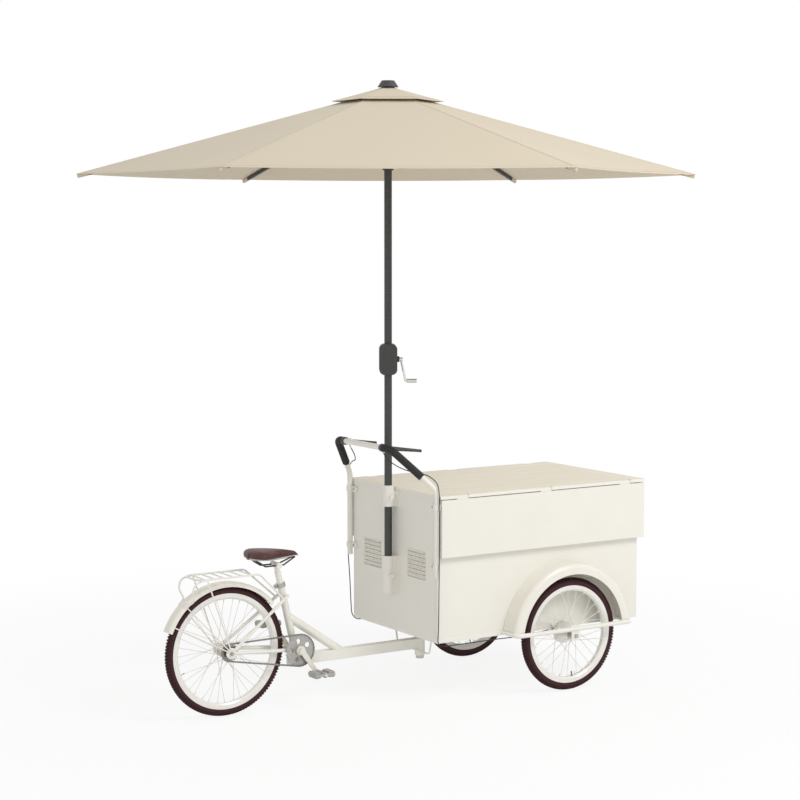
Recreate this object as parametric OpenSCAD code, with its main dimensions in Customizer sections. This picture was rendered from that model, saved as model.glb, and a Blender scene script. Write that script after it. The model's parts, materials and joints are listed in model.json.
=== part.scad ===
// Bicycle food cart: a box on two front wheels, steered about a kingpin, pushed by a
// bicycle rear half, with a crank-opened parasol standing behind the box.
// Millimetres. X points forward, Y to the rider's left, Z up.
// The origin is on the ground under the parasol pole.

/* [Overall] */
// Length of the box and of the worktop between its overhangs
table_l = 1100; // [1000:5:1250]
// Width of the box
table_w = 700; // [640:5:760]
// Height of the worktop above the ground
table_h = 920; // [880:5:980]
// Height of the band made by the worktop's edge and a hanging flap
flap_h = 270; // [220:5:300]
// Length from the rear tyre to the front edge of the worktop
overall_l = 2250; // [2200:5:2350]
// Distance from a side of the box to the outer end of a front axle
wheel_bay = 120; // [116:1:140]

/* [Box] */
// Height of the underside of the box
box_z = 274; // [270:1:290]
// Thickness of the side, rear and front panels
panel_t = 12; // [8:1:16]
// Thickness of the worktop board
top_t = 15; // [12:1:20]
// Overhang of the worktop past each side of the box
top_over_side = 25; // [23:1:30]
// Overhang of the worktop past the front of the box
top_over_front = 20; // [10:1:30]
// Height and width of the square chassis tube
rail = 25; // [20:1:30]
// Thickness of a flap
flap_t = 20; // [14:1:22]
// Width of one vent
vent_w = 145; // [120:5:170]
// Number of slots in one vent
vent_slots = 7; // [4:1:9]
// Height of the lowest slot of a vent
vent_z = 540; // [500:5:560]
// Distance between two slots of a vent
vent_pitch = 18.5; // [17:0.5:20]

/* [Parasol] */
// Distance from the pole's axis to the rear face of the box
pole_gap = 32; // [30:1:45]
// Outer diameter of the pole
pole_d = 34; // [32:1:36]
// Height of the rim's corners above the ground
rim_z = 2300; // [2250:10:2350]
// Distance from the pole to a corner of the canopy
rim_r = 1355; // [1300:5:1400]
// Height of the cloth at the pole
apex_z = 2660; // [2640:2:2680]
// Number of ribs
ribs = 6; // [6:1:6]
// Distance from the crown pivot to the strut pivot, along a rib
strut_at = 500; // [480:5:510]
// Height of the middle of the winder housing
winder_z = 1490; // [1450:5:1500]

/* [Handlebar] */
// Diameter of the handlebar tube
bar_d = 25; // [22:1:25]
// Height of the crossbar
bar_z = 1120; // [1080:5:1160]
// Distance of the crossbar behind the pole
bar_back = 128; // [110:2:140]
// Distance between the two corners of the crossbar
bar_w = 446; // [430:2:460]
// Radius of the handlebar's bends
bar_bend = 60; // [50:5:70]
// Diameter of a grip
grip_d = 33; // [31:1:36]
// Length of a brake lever from its pivot
lever_l = 150; // [120:5:160]

/* [Wheels] */
// Radius of a front wheel
front_r = 254; // [245:1:260]
// Width of a front tyre
front_tyre_w = 46; // [40:1:48]
// Distance of the front axle behind the front of the box
axle_back = 433; // [425:1:445]
// Spokes of a front wheel
front_spokes = 28; // [20:4:36]
// Radius of the rear wheel
rear_r = 279; // [270:1:285]
// Width of the rear tyre
rear_tyre_w = 42; // [36:1:44]
// Spokes of the rear wheel
rear_spokes = 36; // [28:4:36]
// Diameter of a spoke
spoke_d = 2.6; // [2:0.1:3]

/* [Rear frame] */
// Height of the bottom bracket
crank_z = 250; // [245:1:265]
// Length of a crank arm
crank_l = 120; // [100:5:140]
// Teeth of the chainring
ring_teeth = 34; // [32:2:36]
// Teeth of the freewheel cog
cog_teeth = 18; // [16:2:20]
// Links of the chain
links = 80; // [78:2:82]
// Length of the seat tube above the bottom bracket
seat_tube_l = 304; // [290:2:320]
// Lean of the seat tube from upright, in degrees
seat_lean = 13.5; // [12:0.5:16]
// Width of the main beam
beam_w = 40; // [36:1:44]
// Height of the main beam
beam_h = 44; // [40:1:48]
// Distance of the kingpin ahead of the rear face of the box
pivot_in = 136; // [120:2:160]

/* [Saddle] */
// Length of the saddle
saddle_l = 245; // [220:5:270]
// Width of the saddle
saddle_w = 172; // [150:2:200]
// Height of the saddle's crown above the ground
saddle_z = 702; // [690:2:720]

/* [Hidden] */
$fn = 48;

// Colours of the finishes
CREAM = "#f1efe6";
BOARD = "#e2dbc8";
DARK = "#4a4a48";
RUBBER = "#2e2e2e";
TYRE = "#43282b";
STEEL = "#c9c9c6";
LEATHER = "#6b3f3f";
CLOTH = "#dacdb6";

// Overrun of every cut, running clearance of shafts and gap between moving faces
cut = 2;
run = 0.06;
slip = 0.3;
gap = 2;

// Box
rear_x = pole_gap;
front_x = rear_x + table_l;
side_y = table_w / 2;
panel_z = box_z + rail;
board_z = table_h - top_t;
edge_y = side_y + top_over_side;
edge_x = front_x + top_over_front;
pivot_x = rear_x + pivot_in;

// Flaps hang under the worktop's overhang; their pins lie halfway down its edge
hinge_y = edge_y - top_t / 2;
hinge_z = table_h - top_t / 2;
hinge_pin_r = 2.5;
hinge_r = 5;
hinge_l = 60;
hinge_seat = 12;
hinge_count = 3;
hinge_inset = 110;
flap_gap = 6;
flap_x = rear_x + flap_gap;
flap_l = edge_x - flap_x;
flap_low = table_h - flap_h;
// The board's lower edge clears the top of a flap as it swings
flap_high = hinge_z - norm([edge_y - hinge_y, hinge_z - board_z]) - slip;
flap_wall = 2;
flap_lip = 24;

// Handlebar path
bar_r = bar_d / 2;
post_x = rear_x - bar_r - slip;
post_y = side_y + bar_r - slip;
post_low = 568;
post_high = 945;
clip_wall = 4;
clip_h = 24;
clip_reach = 36;
clip_zs = [600, 860];

// Front wheels
axle_x = front_x - axle_back;
track_out = 53;
track_y = side_y + track_out;
outer_y = side_y + wheel_bay;
carrier_r = 10;
nut_t = 8;
carrier_rise = 31;
tab_t = 6;
carrier_y = outer_y - nut_t - tab_t / 2;
carrier_z = front_r + carrier_rise;
carrier_reach = 318;
axle_r = 5;
nut_r = 9;
fender_r = 321;
fender_t = 3;
fender_skirt = 46;
fender_corner = 22;
hub_half = 26;
drum_r = 48;
drum_t = 10;
plate_t = 5;
plate_gap = 1.5;

// Wheel sections
rim_h = 20;
tyre_share = 0.84;
groove_at_share = 0.14;
groove_share = 0.04;
rim_half_share = 0.34;
rim_shoulder_share = 0.6;
spoke_sweep = 62;
spoke_lean_share = 0.12;

// Rear wheel and drive
rear_x0 = edge_x - overall_l;
hub_x = rear_x0 + rear_r;
hub_z = rear_r;
pitch = 12.7;
roller_r = 3.9;
pin_r = 1.75;
plate_r = 4.1;
waist = 5.6;
link_t = 1;
link_in = 1.6;
drive_y = -46;
ring_r = pitch / (2 * sin(180 / ring_teeth));
cog_r = pitch / (2 * sin(180 / cog_teeth));
// Links that a chain needs when the sprockets are d apart
function wrap(d) = asin((ring_r - cog_r) / d);
function links_at(d) = (ring_teeth + cog_teeth) / 2 + (ring_teeth - cog_teeth) * wrap(d) / 180
    + 2 * sqrt(d * d - pow(ring_r - cog_r, 2)) / pitch;
// Halve the interval until the sprockets' distance takes the whole chain
function chain_centres(low, high, turns) = turns == 0 ? (low + high) / 2
    : links_at((low + high) / 2) > links ? chain_centres(low, (low + high) / 2, turns - 1)
    : chain_centres((low + high) / 2, high, turns - 1);
halvings = 40;
centres = chain_centres(ring_r + cog_r, (ring_r + cog_r) * halvings, halvings);
crank_x = hub_x + sqrt(centres * centres - pow(hub_z - crank_z, 2));
drive_tilt = atan2(crank_z - hub_z, crank_x - hub_x);

// Rear frame
beam_drop = 26;
beam_top = crank_z - beam_drop;
beam_mid = beam_top - beam_h / 2;
head_r = 22.5;
head_low = 146;
head_high = 238;
king_r = 12.5;
king_low = 130;
king_block = 30;
bush_wall = 3;
shell_r = 22;
shell_half = 34;
cup_wall = 6;
spindle_r = 8.5;
seat_r = 16;
post_r = 13.6;
seat_dir = [-sin(seat_lean), 0, cos(seat_lean)];
crank_at = [crank_x, 0, crank_z];
seat_top = crank_at + seat_tube_l * seat_dir;
stay_r = 7;
stay_in = 36;
stay_out = 62;
drop_t = 6;
rear_axle_r = 5;
old_half = stay_out - drop_t / 2;
loop_r = 4;

// Cranks and pedals
crank_angle = -55;
arm_y = 60;
arm_t = 12;
arm_w = 24;
pedal_l = 95;
pedal_w = 70;
pedal_h = 24;
pedal_pin_r = 5;

// Saddle
saddle_ahead = 18;
saddle_x = crank_x + saddle_ahead;
saddle_h = 54;
rail_r = 3.5;
rail_y = 22;
rail_drop = 22;
rail_z = saddle_z - saddle_h - rail_drop;

// Parasol linkage: a rib's inner arm and its strut are equally long and start on one
// circle, so a strut turns exactly twice as far as its rib
crown_r = 35;
crown_drop = 38;
crown_z = apex_z - crown_drop;
tip_drop = 8;
tip_in = 5;
rib_run = rim_r - tip_in - crown_r;
rib_fall = crown_z - (rim_z - tip_drop);
rib_l = norm([rib_run, rib_fall]);
rib_tilt = atan2(rib_fall, rib_run);
rib_w = 10;
rib_h = 16;
eye_r = 8;
eye_pin_r = 2.5;
pin_proud = 3;
strut_l = norm([strut_at, rib_h]);
strut_tilt = rib_tilt + atan2(rib_h, strut_at);
strut_r0 = crown_r + strut_l * cos(strut_tilt);
strut_z0 = crown_z - strut_l * sin(strut_tilt);
runner_z = crown_z - 2 * strut_l * sin(strut_tilt);
strut_w = 8;
strut_h = 12;
strut_ear = 5;
fork_share = 0.12;
fork_t = 20;
pole_r = pole_d / 2;
pole_low = 450;
pole_in = 14;
cloth_t = 2;
cap_lift = 16;
finial_z = apex_z + cap_lift + cloth_t + slip;
pole_high = finial_z + pole_in;
winder_h = 136;
winder_w = 79;
winder_d = 66;
winder_angle = -30;
first_rib_angle = -30;

// A direction of length one
function unit(v) = v / norm(v);
// A point on the other side of the cart
function other(p) = [p[0], -p[1], p[2]];

// Solid rod from one point to another
module rod(a, b, r) {
    v = b - a;
    translate(a)
        rotate([0, acos(v[2] / norm(v)), atan2(v[1], v[0])])
            cylinder(h = norm(v), r = r);
}

// Length that a bend of radius bend takes from each of its two straight runs
function bend_reach(a, b, c, bend) =
    bend * tan(acos(unit(b - a) * unit(c - b)) / 2);

// Piece of ring that turns from run a-b into run b-c. It is a hair thicker than the
// runs and laps over their ends by a small angle, so that they join as one solid.
seam = 0.05;
lap = 1;
module elbow(a, b, c, bend, r) {
    u = unit(b - a);
    v = unit(c - b);
    n = unit(v - (v * u) * u);
    centre = b - bend_reach(a, b, c, bend) * u + bend * n;
    side = cross(-n, u);
    multmatrix([
        [-n[0], u[0], side[0], centre[0]],
        [-n[1], u[1], side[1], centre[1]],
        [-n[2], u[2], side[2], centre[2]],
        [0, 0, 0, 1]])
        rotate([0, 0, -lap]) rotate_extrude(angle = acos(u * v) + 2 * lap)
            translate([bend, 0]) circle(r + seam);
}

// Tube bent through a list of points, with the same bend at each corner
module bent_rod(p, bend, r) {
    last = len(p) - 1;
    for (i = [0:last - 1]) {
        u = unit(p[i + 1] - p[i]);
        start = i == 0 ? p[0] : p[i] + bend_reach(p[i - 1], p[i], p[i + 1], bend) * u;
        stop = i == last - 1 ? p[last]
            : p[i + 1] - bend_reach(p[i], p[i + 1], p[i + 2], bend) * u;
        rod(start, stop, r);
    }
    for (i = [1:last - 1])
        elbow(p[i - 1], p[i], p[i + 1], bend, r);
}

// Box between two corners
module block(low, high) {
    translate(low) cube(high - low);
}

// Cylinder along Y from y0 to y1
module across(x, z, y0, y1, r) {
    translate([x, y1, z]) rotate([90, 0, 0]) cylinder(h = y1 - y0, r = r);
}

// Both sides of the cart
module both_sides() {
    children();
    mirror([0, 1, 0]) children();
}

// Chassis under the box, with the stirrup that carries the beam near the kingpin
stirrup_top = 160;
stirrup_low = 130;
stirrup_bend = 18;
stirrup_x = pivot_x - head_r - loop_r * 3;
stirrup_z = beam_top - beam_h - loop_r - slip;
brace_w = 60;
mount_w = 110;
front_brace_in = 170;
module cross_member(x, w)
    block([x - w / 2, -side_y + rail, box_z], [x + w / 2, side_y - rail, panel_z]);
module chassis_frame() color(CREAM) {
    difference() {
        block([rear_x, -side_y, box_z], [front_x, side_y, panel_z]);
        block([rear_x + rail, -side_y + rail, box_z - cut],
              [front_x - rail, side_y - rail, panel_z + cut]);
    }
    cross_member(pivot_x, mount_w);
    cross_member(axle_x, brace_w);
    cross_member(front_x - front_brace_in, brace_w);
    bent_rod([
        [stirrup_x, -stirrup_top, box_z + rail / 2], [stirrup_x, -stirrup_low, stirrup_z],
        [stirrup_x, stirrup_low, stirrup_z], [stirrup_x, stirrup_top, box_z + rail / 2]],
        stirrup_bend, loop_r);
}

// Kingpin hanging from the chassis, with its block above and its nut below
king_nut = 14;
module kingpin() color(STEEL) translate([pivot_x, 0, 0]) {
    translate([0, 0, head_high + slip])
        cylinder(h = box_z - head_high - slip, r = king_block);
    translate([0, 0, king_low]) cylinder(h = box_z - king_low, r = king_r);
    translate([0, 0, head_low - slip - king_nut])
        cylinder(h = king_nut, r = head_r - gap, $fn = 6);
}

module box_floor() color(CREAM)
    block([rear_x + panel_t, -side_y + panel_t, panel_z],
          [front_x - panel_t, side_y - panel_t, panel_z + panel_t]);

// Rear panel with two louvred vents
vent_y = 183;
slot_h = 7;
hood_r = 6;
module louvre(y, z) {
    translate([rear_x, y + vent_w / 2, z + slot_h / 2]) rotate([90, 0, 0])
        intersection() {
            cylinder(h = vent_w, r = hood_r);
            translate([-hood_r, 0, 0]) cube([hood_r + panel_t, hood_r, vent_w]);
        }
}
module rear_panel() color(CREAM) {
    zs = [for (i = [0:vent_slots - 1]) vent_z + i * vent_pitch];
    difference() {
        block([rear_x, -side_y + panel_t, panel_z], [rear_x + panel_t, side_y - panel_t, board_z]);
        for (y = [-vent_y, vent_y], z = zs)
            block([rear_x - cut, y - vent_w / 2, z - slot_h / 2],
                  [rear_x + panel_t + cut, y + vent_w / 2, z + slot_h / 2]);
    }
    for (y = [-vent_y, vent_y], z = zs)
        louvre(y, z);
}

// Sides and front folded from one sheet
module cabinet_shell() color(CREAM)
    difference() {
        block([rear_x, -side_y, panel_z], [front_x, side_y, board_z]);
        block([rear_x - cut, -side_y + panel_t, panel_z - cut],
              [front_x - panel_t, side_y - panel_t, board_z + cut]);
    }

// Places of the flap hinges along the worktop
hinge_xs = [for (i = [0:hinge_count - 1])
    flap_x + hinge_inset + i * (flap_l - 2 * hinge_inset) / (hinge_count - 1)];

// Worktop board with notches for the flap hinges
module worktop() color(BOARD)
    difference() {
        block([rear_x, -edge_y, board_z], [edge_x, edge_y, table_h]);
        both_sides() for (x = hinge_xs) {
            block([x - hinge_l / 2 - slip, hinge_y - hinge_r - gap, board_z - cut],
                  [x + hinge_l / 2 + slip, edge_y + cut, table_h + cut]);
            translate([x - hinge_l / 2 - hinge_seat - slip, hinge_y, hinge_z])
                rotate([0, 90, 0])
                    cylinder(h = hinge_l + 2 * hinge_seat + 2 * slip, r = hinge_pin_r + run);
        }
    }

module flap_hinges() color(STEEL)
    both_sides() for (x = hinge_xs)
        translate([x - hinge_l / 2 - hinge_seat, hinge_y, hinge_z]) rotate([0, 90, 0])
            cylinder(h = hinge_l + 2 * hinge_seat, r = hinge_pin_r);

// Left flap: a tray of sheet folded round its edges, with three hinge knuckles
module flap() color(CREAM) {
    difference() {
        block([flap_x, edge_y - flap_t, flap_low], [flap_x + flap_l, edge_y, flap_high]);
        block([flap_x + flap_lip, edge_y - flap_t - cut, flap_low + flap_lip],
              [flap_x + flap_l - flap_lip, edge_y - flap_wall, flap_high - flap_lip]);
    }
    for (x = hinge_xs)
        translate([x - hinge_l / 2, hinge_y, hinge_z]) difference() {
            union() {
                rotate([0, 90, 0]) cylinder(h = hinge_l, r = hinge_r);
                block([0, -hinge_r, flap_high - hinge_z], [hinge_l, hinge_r, 0]);
            }
            translate([-cut, 0, 0]) rotate([0, 90, 0])
                cylinder(h = hinge_l + 2 * cut, r = hinge_pin_r + run);
        }
}
module left_flap() flap();
module right_flap() mirror([0, 1, 0]) flap();

// Left half of the handlebar's path, from the upright's foot to the crossbar
bar_corner = [-bar_back, bar_w / 2, bar_z];
bar_turn = [post_x, post_y, post_high];
bar_foot = [post_x, post_y, post_low];
bar_path = [other(bar_foot), other(bar_turn), other(bar_corner), bar_corner, bar_turn, bar_foot];
module handlebar() color(CREAM) {
    bent_rod(bar_path, bar_bend, bar_r);
    both_sides() for (z = clip_zs)
        translate([post_x, post_y, z]) difference() {
            union() {
                cylinder(h = clip_h, r = bar_r + clip_wall);
                block([0, -bar_r - clip_reach, 0], [rear_x - post_x, -bar_r, clip_h]);
            }
            translate([0, 0, -cut]) cylinder(h = clip_h + 2 * cut, r = bar_r + run);
        }
}

// Grips over the slanted runs and the corners beside the crossbar
grip_cross = 14;
grip_run_share = 0.72;
module grip_path(r, more) {
    reach = bend_reach(bar_turn, bar_corner, other(bar_corner), bar_bend);
    low_reach = bend_reach(bar_foot, bar_turn, bar_corner, bar_bend);
    down = unit(bar_turn - bar_corner);
    run_l = (norm(bar_turn - bar_corner) - reach - low_reach) * grip_run_share;
    rod(bar_corner - [0, reach + grip_cross + more, 0], bar_corner - [0, reach, 0], r);
    elbow(bar_turn, bar_corner, other(bar_corner), bar_bend, r);
    rod(bar_corner + reach * down, bar_corner + (reach + run_l + more) * down, r);
}
module grips() color(RUBBER)
    both_sides() difference() {
        grip_path(grip_d / 2, 0);
        grip_path(bar_r + run, cut);
    }

// Brake levers turn in the plane of the lever and the grip
lever_ahead = 30;
lever_inset = 62;
lever_drop = 4;
lever_pivot = [lever_ahead - bar_back, bar_w / 2 - lever_inset, bar_z - lever_drop];
lever_aim = [150, 26, -18];
lever_dir = unit(lever_aim);
grip_dir = unit(bar_turn - bar_corner);
lever_axis = unit(cross(grip_dir, lever_dir));
lever_side = cross(lever_axis, lever_dir);
lever_t = 9;
lever_boss = 9;
lever_pin_r = 3;
lever_ball_r = 7;
lever_thin = 4.5;
clamp_w = 18;
clamp_wall = 5;
ear_t = 4;
// Puts a shape drawn along X, turning about Z, at the left lever's pivot
module at_lever() {
    multmatrix([
        [lever_dir[0], lever_side[0], lever_axis[0], lever_pivot[0]],
        [lever_dir[1], lever_side[1], lever_axis[1], lever_pivot[1]],
        [lever_dir[2], lever_side[2], lever_axis[2], lever_pivot[2]],
        [0, 0, 0, 1]])
        children();
}
module lever() color(RUBBER) at_lever() difference() {
    union() {
        translate([0, 0, -lever_t / 2]) cylinder(h = lever_t, r = lever_boss);
        translate([0, 0, -lever_t / 2]) linear_extrude(lever_t)
            polygon([[0, -lever_boss], [lever_l, -lever_thin], [lever_l, lever_thin], [0, lever_boss]]);
        translate([lever_l, 0, 0]) sphere(lever_ball_r);
    }
    translate([0, 0, -lever_t]) cylinder(h = 2 * lever_t, r = lever_pin_r + run);
}
module left_brake_lever() lever();
module right_brake_lever() mirror([0, 1, 0]) lever();

// Clamp round the crossbar with two ears and the lever's pin
ear_z = lever_t / 2 + slip;
module lever_clamps() color(RUBBER) both_sides() {
    difference() {
        union() {
            across(-bar_back, bar_z, lever_pivot[1] - clamp_w / 2, lever_pivot[1] + clamp_w / 2,
                   bar_r + clamp_wall);
            at_lever() for (s = [ear_z, -ear_z - ear_t]) translate([0, 0, s]) {
                cylinder(h = ear_t, r = lever_boss);
                translate([-bar_r - clamp_wall, -lever_boss, 0])
                    cube([bar_r + clamp_wall, 2 * lever_boss, ear_t]);
            }
        }
        across(-bar_back, bar_z, lever_pivot[1] - clamp_w, lever_pivot[1] + clamp_w, bar_r + run);
    }
    at_lever() translate([0, 0, -ear_z - ear_t])
        cylinder(h = 2 * (ear_z + ear_t), r = lever_pin_r);
}

// Route of the left brake cable, from its lever down the upright to the drum brake
cable_r = 2.2;
cable_sides = 8;
// Points near the lever, from its pivot; down the upright, from its axis; under the box,
// from its lower rear corner; and at the drum brake, from the axle
cable_lever = [[-20, -20, -6], [-12, -22, -24], [2, -18, -44], [20, -4, -66], [40, 26, -84], [62, 68, -97]];
cable_post = [
    [-22, -72, 1010], [-9, -32, 999], [-1, 3, 976], [1, 16, 942], [0, 20, 890], [0, 20, 760],
    [0, 20, 620], [1, 18, 555], [4, 12, 470], [6, 8, 390]];
cable_box = [
    [-6, 16, 52], [-4, 11, 14], [8, 4, -6], [30, 1, -14], [90, 0, -15], [200, 0, -15],
    [330, 3, -14]];
cable_drum = [[-250, 10, 6], [-150, 14, 12], [-90, 15, 19], [-58, 15, 21]];
cable_route = concat(
    [for (p = cable_lever) lever_pivot + p],
    [for (p = cable_post) [post_x, post_y, 0] + p],
    [for (p = cable_box) [rear_x, side_y, box_z] + p],
    [for (p = cable_drum) [axle_x, side_y, front_r] + p]);
// The first stretches, which curve most, get a ring halfway as well
cable_fine = 10;
// Point on the smooth curve through four points, t along the middle stretch
function smooth(a, b, c, d, t) = b + (c - a) * t / 2
    + (2 * a - 5 * b + 4 * c - d) * t * t / 2 + (3 * b - a - 3 * c + d) * t * t * t / 2;
function along(p, i, t) = smooth(p[max(i - 1, 0)], p[i], p[i + 1], p[min(i + 2, len(p) - 1)], t);
cable_points = concat(
    [for (i = [0:len(cable_route) - 2])
        for (t = i < cable_fine ? [0, 1 / 2] : [0]) along(cable_route, i, t)],
    [cable_route[len(cable_route) - 1]]);

// Tube of rings along a list of points, closed at both ends
sweep_up = unit([3, 9, 2]);
module sweep(p, r, sides) {
    n = len(p);
    dirs = [for (i = [0:n - 1]) unit(p[min(i + 1, n - 1)] - p[max(i - 1, 0)])];
    rings = [for (i = [0:n - 1])
        let (side = unit(cross(dirs[i], sweep_up)), up = cross(side, dirs[i]))
        for (k = [0:sides - 1])
            p[i] + r * (cos(360 * k / sides) * side + sin(360 * k / sides) * up)];
    walls = [for (i = [0:n - 2], k = [0:sides - 1])
        let (a = i * sides + k, b = i * sides + (k + 1) % sides)
        each [[a, b, b + sides], [a, b + sides, a + sides]]];
    low = [for (k = [1:sides - 2]) [0, k + 1, k]];
    top = (n - 1) * sides;
    high = [for (k = [1:sides - 2]) [top, top + k, top + k + 1]];
    polyhedron(points = rings, faces = concat(walls, low, high));
}
module brake_cables() color(RUBBER) both_sides()
    sweep(cable_points, cable_r, cable_sides);

// Frame round each front wheel: outer bar on two outriggers, outer tab and inner plate
tab_low = 22;
tab_w = 44;
plate_w = 120;
plate_foot = 40;
module wheel_carrier() {
    difference() {
        union() {
            bent_rod([
                [axle_x - carrier_reach, side_y, carrier_z],
                [axle_x - carrier_reach, carrier_y, carrier_z],
                [axle_x + carrier_reach, carrier_y, carrier_z],
                [axle_x + carrier_reach, side_y, carrier_z]],
                fender_corner, carrier_r);
            translate([axle_x, carrier_y + tab_t / 2, 0]) rotate([90, 0, 0])
                linear_extrude(tab_t)
                    polygon([
                        [-tab_w / 2, carrier_z], [tab_w / 2, carrier_z],
                        [tab_low, front_r - tab_low], [-tab_low, front_r - tab_low]]);
        }
        across(axle_x, front_r, carrier_y - tab_t, carrier_y + tab_t, axle_r + run);
    }
    difference() {
        translate([axle_x, side_y + tab_t, 0]) rotate([90, 0, 0]) linear_extrude(tab_t)
            polygon([
                [-plate_w / 2, panel_z], [plate_w / 2, panel_z],
                [plate_foot / 2, front_r - tab_low], [-plate_foot / 2, front_r - tab_low]]);
        across(axle_x, front_r, side_y - cut, side_y + tab_t + cut, axle_r + run);
    }
}
module wheel_carriers() color(CREAM) both_sides() wheel_carrier();

// Front axles with their nuts, and the drum brake's fixed plates with their arms
arm_reach = 62;
plate_y = side_y + tab_t + plate_gap;
module front_axles() color(STEEL) both_sides() {
    across(axle_x, front_r, side_y - nut_t, outer_y - cut, axle_r);
    across(axle_x, front_r, carrier_y + tab_t / 2, outer_y, nut_r, $fn = 6);
    across(axle_x, front_r, side_y - nut_t, side_y, nut_r, $fn = 6);
    difference() {
        union() {
            across(axle_x, front_r, plate_y, plate_y + plate_t, drum_r);
            translate([axle_x, plate_y + plate_t, 0]) rotate([90, 0, 0]) linear_extrude(plate_t)
                polygon([
                    [-arm_reach, front_r + drum_r / 2], [-arm_reach, front_r + drum_r / 4],
                    [0, front_r], [0, front_r + drum_r / 2]]);
        }
        across(axle_x, front_r, plate_y - cut, plate_y + plate_t + cut, axle_r - cut / 4);
    }
}

// Front mudguards: half rings with a rounded outer shoulder and a skirt, which stop
// just above the carrier's outriggers
fender_from = asin((carrier_rise + carrier_r + seam + slip) / (fender_r - fender_t));
module fender_profile(r, inner, outer, corner, skirt, t) {
    translate([r - t, inner]) square([t, outer - corner - inner]);
    translate([r - corner, outer - corner]) intersection() {
        difference() {
            circle(corner);
            circle(corner - t);
        }
        square(corner);
    }
    translate([r - skirt, outer - t]) square([skirt - corner, t]);
}
module front_fenders() color(CREAM) both_sides()
    translate([axle_x, 0, front_r]) rotate([90, 0, 0]) mirror([0, 0, 1])
        rotate([0, 0, fender_from]) rotate_extrude(angle = 180 - 2 * fender_from)
            fender_profile(fender_r, side_y + slip, carrier_y - carrier_r - slip,
                           fender_corner, fender_skirt, fender_t);

// Holder on the rear face: an upper sleeve, a lower cup and a clamp screw in each
holder_r = 25;
holder_web = 40;
sleeve_low = 836;
sleeve_high = 930;
cup_low = 444;
cup_high = 614;
holder_plate_w = 84;
holder_plate_t = 5;
screw_angle = -100;
screw_r = 4;
screw_head_r = 9;
screw_reach = 22;
module holder_sleeve(low, high, floor_t, screw_z) {
    difference() {
        union() {
            translate([0, 0, low]) cylinder(h = high - low, r = holder_r);
            block([rear_x - holder_plate_t, -holder_plate_w / 2, low],
                  [rear_x, holder_plate_w / 2, min(high, board_z)]);
            block([0, -holder_web / 2, low], [rear_x, holder_web / 2, min(high, board_z)]);
        }
        translate([0, 0, low + floor_t - (floor_t == 0 ? cut : 0)])
            cylinder(h = high - low + 2 * cut, r = pole_r + slip);
    }
    rotate([0, 0, screw_angle]) translate([pole_r + slip + run, 0, screw_z]) rotate([0, 90, 0]) {
        cylinder(h = screw_reach, r = screw_r);
        translate([0, 0, screw_reach]) cylinder(h = screw_head_r, r = screw_head_r);
    }
}
module umbrella_holder() color(CREAM) {
    holder_sleeve(sleeve_low, sleeve_high, 0, sleeve_low + (sleeve_high - sleeve_low) / 2);
    holder_sleeve(cup_low, cup_high, pole_low - cup_low - slip, cup_low + (cup_high - cup_low) / 2);
}

// Wheel pieces, drawn about Z and then laid along Y
module wheel_at(x, y, z) {
    translate([x, y, z]) rotate([90, 0, 0]) children();
}
// Tyre section: a round carcass that sits on the rim
module tyre(r, w) {
    seat = r - w * tyre_share;
    rotate_extrude($fn = 96) intersection() {
        difference() {
            translate([r - w / 2, 0]) circle(w / 2);
            for (s = [-1, 1]) translate([r, s * w * groove_at_share]) circle(w * groove_share, $fn = 24);
        }
        translate([seat, -w]) square([w * 2, w * 2]);
    }
}
// Rim section: a box with two raised walls that hold the tyre's beads
module rim(r, w) {
    seat = r - w * tyre_share;
    half = w * rim_half_share;
    shoulder = seat - rim_h * rim_shoulder_share;
    rotate_extrude($fn = 96) polygon([
        [seat - rim_h, -half * rim_shoulder_share], [shoulder, -half], [seat, -half],
        [seat, half], [shoulder, half], [seat - rim_h, half * rim_shoulder_share]]);
}
// Straight spokes between the hub's two flanges and the rim
module spokes(count, hub_a, hub_b, y_a, y_b, r, w) {
    reach = r - w * tyre_share - rim_h - slip;
    for (k = [0:count - 1]) {
        far = k % 2 == 0;
        lead = floor(k / 2) % 2 == 0 ? 1 : -1;
        turn = 360 * k / count;
        at = turn + lead * spoke_sweep;
        hub_r = far ? hub_a : hub_b;
        y = far ? y_a : y_b;
        rod([hub_r * cos(at), hub_r * sin(at), y + lead * spoke_d],
            [reach * cos(turn), reach * sin(turn), sign(y) * w * spoke_lean_share], spoke_d / 2);
    }
}
// Front hub with its brake drum on the inner side
flange_r = 27;
flange_t = 6;
barrel_r = 16;
drum_low = -(track_y - plate_y - plate_t - plate_gap / 2);
module front_hub() {
    difference() {
        union() {
            translate([0, 0, drum_low]) cylinder(h = drum_t, r = drum_r);
            translate([0, 0, drum_low]) cylinder(h = hub_half - drum_low + flange_t / 2, r = barrel_r);
            translate([0, 0, hub_half - flange_t / 2]) cylinder(h = flange_t, r = flange_r);
        }
        translate([0, 0, drum_low - cut])
            cylinder(h = hub_half - drum_low + flange_t + 2 * cut, r = axle_r + run);
    }
    spokes(front_spokes, flange_r - gap, drum_r - gap * 2, hub_half, drum_low + drum_t / 2,
           front_r, front_tyre_w);
}
// Puts a wheel piece, whose Z points outwards, on the left side
module on_left() {
    translate([axle_x, track_y, front_r]) rotate([-90, 0, 0]) children();
}
module left_front_tyre() color(TYRE) on_left() tyre(front_r, front_tyre_w);
module left_front_rim() color(CREAM) on_left() rim(front_r, front_tyre_w);
module left_front_hub() color(STEEL) on_left() front_hub();
module right_front_tyre() mirror([0, 1, 0]) left_front_tyre();
module right_front_rim() mirror([0, 1, 0]) left_front_rim();
module right_front_hub() mirror([0, 1, 0]) left_front_hub();

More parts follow.
